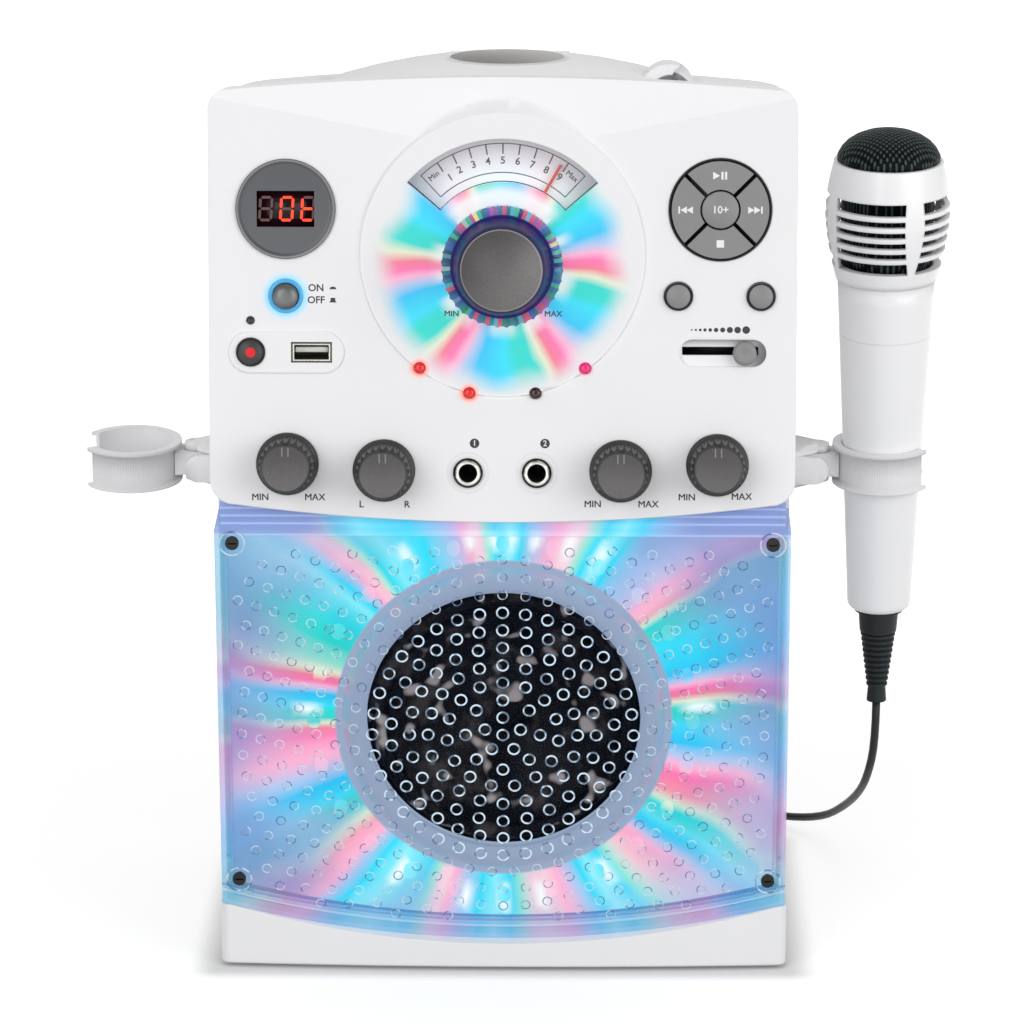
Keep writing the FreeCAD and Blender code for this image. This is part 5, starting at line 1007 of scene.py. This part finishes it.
def button_marks():
    """Transport signs on the pad, and the dot on the record button."""
    x, v = PAD
    w = PAD_TOP
    play = Print()
    play.shape(triangle(2.8, 1), x - 1.5, v + SIGN_REACH, w)
    for step in (0.6, 1.9):
        play.bar(0.8, 2.8, x + step, v + SIGN_REACH, w)
    play.done("play_sign", "pale", "play")
    stop = Print()
    stop.bar(2.7, 2.7, x, v - 12.2, w)
    stop.done("stop_sign", "pale", "stop")
    for side, body in ((-1, "previous"), (1, "next")):
        sign = Print()
        for step in (-1.3, 0.9):
            corners = triangle(2.6, side)
            sign.shape(corners if side > 0 else corners[::-1], x + side * (SIGN_REACH + step), v, w)
        sign.bar(0.6, 2.6, x + side * 14.9, v, w)
        sign.done(f"{body}_sign", "pale", body)
    dot = Print()
    dot.disc(1.8, *RECORD, BUTTON_TOP + 0.03)
    dot.done("record_dot", "alert", "record")
    skip = Print()
    skip.words("10+", x, v, w, 3.8)
    skip.done("skip_sign", "pale", "skip")


SEGMENTS = {
    "a": (0, 1, 0), "b": (0.5, 0.5, 1), "c": (0.5, -0.5, 1), "d": (0, -1, 0),
    "e": (-0.5, -0.5, 1), "f": (-0.5, 0.5, 1), "g": (0, 0, 0),
}


def display_digits():
    """Three seven-segment digits; the segments that are off still show faintly."""
    lit = Print()
    off = Print()
    w = -0.24
    wide, tall = 4.2, 8.2
    slant = 0.06
    for place, shown in zip((-7.2, 0.4, 8), ("", "abcdef", "defg")):
        for name, (x, y, upright) in SEGMENTS.items():
            target = lit if name in shown else off
            long = (tall / 2 if upright else wide) - 0.5
            left = place + x * wide + y * tall / 2 * slant
            turn = 90 + math.degrees(slant) if upright else 0
            corners = ((-long / 2, 0), (-long / 2 + 0.45, -0.48), (long / 2 - 0.45, -0.48), (long / 2, 0),
                       (long / 2 - 0.45, 0.48), (-long / 2 + 0.45, 0.48))
            target.shape(corners, DISPLAY[0] + left, DISPLAY[1] + y * tall / 2, w, turn)
    lit.done("digits_lit", "lit", "cabinet")
    off.done("digits_unlit", "unlit", "cabinet")


def knob_details():
    """Faces and notches of the small knobs, core and a bed of painted coloured light under the skirt, dark rims of
    buttons.
    """
    for body, (x, v) in zip(("voice", "balance", "echo", "mic_level"), KNOBS):
        bm = bmesh.new()
        placing = PANEL @ Matrix.Translation((x, v, KNOB_TOP))
        bmesh.ops.create_circle(bm, cap_ends=True, segments=48, radius=8.2, matrix=placing)
        keep(f"{body}_face", bm, "cap", body)
        notch = Print()
        for side in (-1, 1):
            notch.bar(0.5, 3.2, x + side * 1.1, v + 6, KNOB_TOP + 0.03)
        notch.done(f"{body}_notch", "notch", body)
    panel_ring("skirt_core", "navy", "volume", (14, 18.4), (0, DIAL_V, 8.7), 72)
    panel_ring("skirt_bed", "skirt", "volume", (18.1, SKIRT_RADIUS - 0.3), (0, DIAL_V, 6.6), SKIRT_FACETS, 2)
    for body, x, v in SMALL_BUTTONS:
        panel_ring(f"{body}_rim", "black", body, (4.35, 5.02), (x, v, BUTTON_TOP), 40)
    panel_ring("record_rim", "black", "record", (4.55, 5.02), (*RECORD, BUTTON_TOP), 40)


def panel_ring(name, skin, body, radii, place, segments, rise=0):
    """A flat or dished ring over the panel; its inner edge stands higher by the rise."""
    inner, outer = radii
    bm = bmesh.new()
    bmesh.ops.create_circle(bm, segments=segments, radius=outer)
    made = bmesh.ops.extrude_edge_only(bm, edges=bm.edges[:])
    for item in made["geom"]:
        if isinstance(item, bmesh.types.BMVert):
            item.co = item.co * (inner / outer) + Vector((0, 0, rise))
    for face in bm.faces:
        if face.normal.z < 0:
            face.normal_flip()
    bm.transform(PANEL @ Matrix.Translation(place))
    keep(name, bm, skin, body)


def light_caps():
    """Domes of the small indicator lights, lit or dark as photographed."""
    for number, ((x, v), skin) in enumerate(zip(LIGHTS, ("alert", "alert", "dim", "pinkish")), start=1):
        bm = bmesh.new()
        placing = PANEL @ Matrix.Translation((x, v, BOSS_W)) @ Matrix.Diagonal((1, 1, 0.55, 1))
        bmesh.ops.create_uvsphere(bm, u_segments=20, v_segments=12, radius=2, matrix=placing)
        keep(f"indicator_{number}", bm, skin, "cabinet")


def scatter(name, template, places, lift, skin):
    """One piece of copies of a small mesh at places on the cover."""
    bm = bmesh.new()
    for x, v in places:
        copy = template.copy()
        copy.transform(COVER @ Matrix.Translation((x, v, lift)))
        bm.from_mesh(copy)
        bpy.data.meshes.remove(copy)
    keep(name, bm, skin, "cabinet", 80)


def thin_ring(radius, thick, sides, steps):
    bm = bmesh.new()
    placing = Matrix.Translation((radius, 0, 0)) @ Matrix.Rotation(math.pi / 2, 4, "X")
    bmesh.ops.create_circle(bm, segments=sides, radius=thick, matrix=placing)
    bmesh.ops.spin(bm, geom=bm.verts[:] + bm.edges[:], cent=(0, 0, 0), axis=(0, 0, 1), angle=FULL_TURN,
                   steps=steps, use_merge=True)
    bmesh.ops.recalc_face_normals(bm, faces=bm.faces)
    return mesh_of(bm)


def ring_places(ring, count):
    """Evenly spaced places on a ring of the hole pattern, the first at the top."""
    radius = ring * HOLE_PITCH
    angles = (FULL_TURN * step / count for step in range(count))
    return [(radius * math.sin(angle), SPEAKER_V + radius * math.cos(angle)) for angle in angles]


def cover_details():
    """Collars round the screws, rims of the speaker holes, and the dimples over the rest of the cover."""
    holes = [(0, SPEAKER_V)]
    for ring, count in enumerate(HOLE_COUNTS, start=1):
        holes += ring_places(ring, count)
    dimples = []
    for ring in range(len(HOLE_COUNTS) + 1, DIMPLE_RINGS):
        for x, v in ring_places(ring, round(DIMPLES_PER_RING * ring)):
            low = COVER_BOTTOM - COVER_SAG * (1 - (x / COVER_HALF_WIDTH) ** 2)
            near_screw = any(math.hypot(x - sx, v - sv) < SCREW_CLEAR for sx, sv in SCREWS)
            if abs(x) < COVER_HALF_WIDTH and low + 3 < v < COVER_TOP - 2 and not near_screw:
                dimples.append((x, v))
    scatter("screw_collars", thin_ring(4.6, 0.35, 6, 28), SCREWS, 0.05, "dimple")
    scatter("hole_rims", thin_ring(HOLE_RADIUS + 0.2, 0.35, 6, 14), holes, 0.08, "rim")
    scatter("cover_dimples", thin_ring(DIMPLE_RADIUS, 0.24, 4, 12), dimples, 0.02, "dimple")


def coil_point(turn):
    """Place of the coil's middle line after a number of turns, as in the part's source."""
    spell = COIL_TURNS + 0.5
    layer = min(int(turn / spell), COIL_LAYERS - 1)
    inside = turn - layer * spell
    top = layer == COIL_LAYERS - 1
    spread = inside if top else min(inside, COIL_TURNS)
    outer = COIL_INNER + COIL_TURNS * COIL_PITCH
    radius = outer - spread * COIL_PITCH if layer % 2 == 0 else COIL_INNER + spread * COIL_PITCH
    climb = 0 if top else min(max(inside - COIL_TURNS, 0) / 0.5, 1)
    height = COIL_LIFT + CORD_RADIUS + (layer + climb * climb * (3 - 2 * climb)) * COIL_PITCH
    angle = 2 * math.pi * turn + math.radians(COIL_START)
    return Vector((COIL_PLACE[0] + radius * math.cos(angle), COIL_PLACE[1] + radius * math.sin(angle), height))


def cord_points():
    """The whole cord in millimetres: boot, route, coil, then down into the plug."""
    exit_point = MICROPHONE @ Vector((0, 0, CORD_EXIT)) / MM
    second = MICROPHONE @ Vector((0, 0, CORD_EXIT - CORD_LEAD)) / MM
    last = COIL_LAYERS * (COIL_TURNS + 0.5) - 1 + (COIL_END - COIL_START) / 360
    start = coil_point(0)
    lead = (coil_point(0.01) - start).normalized()
    points = [exit_point, second, *[Vector(point) for point in CORD_ROUTE], start - lead * COIL_APPROACH]
    steps = int(last * COIL_STEPS)
    points += [coil_point(last * step / steps) for step in range(steps + 1)]
    leave = points[-1]
    mouth = Vector((leave.x - PLUG_REACH, leave.y, PLUG_HEIGHT))
    points += [leave + Vector((-8, 0, 0)), leave + Vector((-16, 0, -0.6)), mouth + Vector((18, 0, 0.6)),
               mouth + Vector((8, 0, 0)), mouth, mouth - Vector((PLUG_GRIP, 0, 0))]
    return points


def cord():
    points = cord_points()
    curve = bpy.data.curves.new("cord_line", "CURVE")
    curve.dimensions = "3D"
    spline = curve.splines.new("NURBS")
    spline.points.add(len(points) - 1)
    for knot, point in zip(spline.points, points):
        knot.co = (*(point * MM), 1)
    spline.order_u = 3
    spline.use_endpoint_u = True
    spline.resolution_u = 4
    read = mesh_of_curve(curve)
    path = [vertex.co.copy() for vertex in read.vertices]
    bpy.data.meshes.remove(read)
    bm = bmesh.new()
    loops = []
    for index, point in enumerate(path):
        ahead = (path[min(index + 1, len(path) - 1)] - path[max(index - 1, 0)]).normalized()
        side = ahead.cross(Vector((0, 0, 1)))
        side = side.normalized() if side.length > 0.05 else Vector((1, 0, 0))
        up = side.cross(ahead).normalized()
        placing = Matrix((side, up, ahead)).transposed().to_4x4()
        placing.translation = point
        made = bmesh.ops.create_circle(bm, segments=CORD_SIDES, radius=CORD_RADIUS * MM, matrix=placing)
        loops.append(made["verts"])
    for first, last in zip(loops, loops[1:]):
        for step in range(CORD_SIDES):
            after = (step + 1) % CORD_SIDES
            bm.faces.new((first[step], first[after], last[after], last[step]))
    bm.faces.new(loops[0][::-1])
    bm.faces.new(loops[-1])
    bmesh.ops.recalc_face_normals(bm, faces=bm.faces)
    piece = smooth_object("microphone_cord", bm, SKINS["rubber"].material)
    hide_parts("mic_cord", "mic_cord_coil")
    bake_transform(piece)


def floor():
    """A pale floor: white far off where it is seen, and darker beside the plinth, where its glow is turned down as
    painted shade.
    """
    skin = Skin("floor_white", Roughness=0.8, Specular_IOR_Level=0, Emission_Strength=1)
    bm = bmesh.new()
    bmesh.ops.create_grid(bm, x_segments=1, y_segments=1, size=6)
    smooth_object("floor", bm, skin.material)
    corners = [Vector(corner) / MM for corner in frame["nodes"]["base_plinth"].bound_box]
    low, high = (Vector(pick(corner[axis] for corner in corners) for axis in range(3)) for pick in (min, max))
    sides = (abs(skin.dot((low + high) / 2, direction)) for direction in ((1, 0, 0), (0, 1, 0)))
    away = reach(*((side - size / 2).math("MAXIMUM", 0) for side, size in zip(sides, high - low)))
    # Painted shade: the floor's glow drops beside the plinth.
    level = skin.span(away, 0, 14, 0.1, 0.5) + skin.span(away, 120, 700, 0, 0.5)
    seen = skin.seen_by("Camera", "Glossy", "Transmission")
    pale = skin.mix(seen, (0.38, 0.38, 0.38), (0.64, 0.64, 0.64))
    skin.feed(Base_Color=pale, Emission_Color=skin.mix(seen * level, BLACK, (1, 1, 1)))


def surround():
    """A white world where it is seen, and a weaker one as a light."""
    sky = Skin("surround", bpy.data.worlds, "Background", Color=(1, 1, 1, 1))
    sky.feed(Strength=sky.seen_by("Camera", "Transmission") * (1 - WORLD_LEVEL) + WORLD_LEVEL)
    bpy.context.scene.world = sky.material


def studio():
    """Floor, surround, soft lamps and the camera of the photograph."""
    scene = bpy.context.scene
    scene.view_settings.view_transform = "Standard"
    floor()
    surround()
    for name, place, size, power in LAMPS:
        lamp = bpy.data.lights.new(name, "AREA")
        lamp.size = size
        lamp.energy = power
        holder = add_object(name, lamp)
        holder.location = place
        aim = Vector(LAMP_AIM) - Vector(place)
        holder.rotation_euler = aim.to_track_quat("-Z", "Y").to_euler()
    camera = bpy.data.cameras.new("camera")
    camera.lens = FOCAL_LENGTH
    camera.sensor_width = 36
    camera.clip_end = 50
    scene.camera = add_object("camera", camera)
    scene.camera.location = Vector(CAMERA_PLACE) * MM
    scene.camera.rotation_euler = (math.radians(90 - CAMERA_PITCH), 0, math.radians(CAMERA_YAW))


studio()
dress_nodes()
cord()
print_dial()
print_panel()
button_marks()
display_digits()
knob_details()
light_caps()
cover_details()
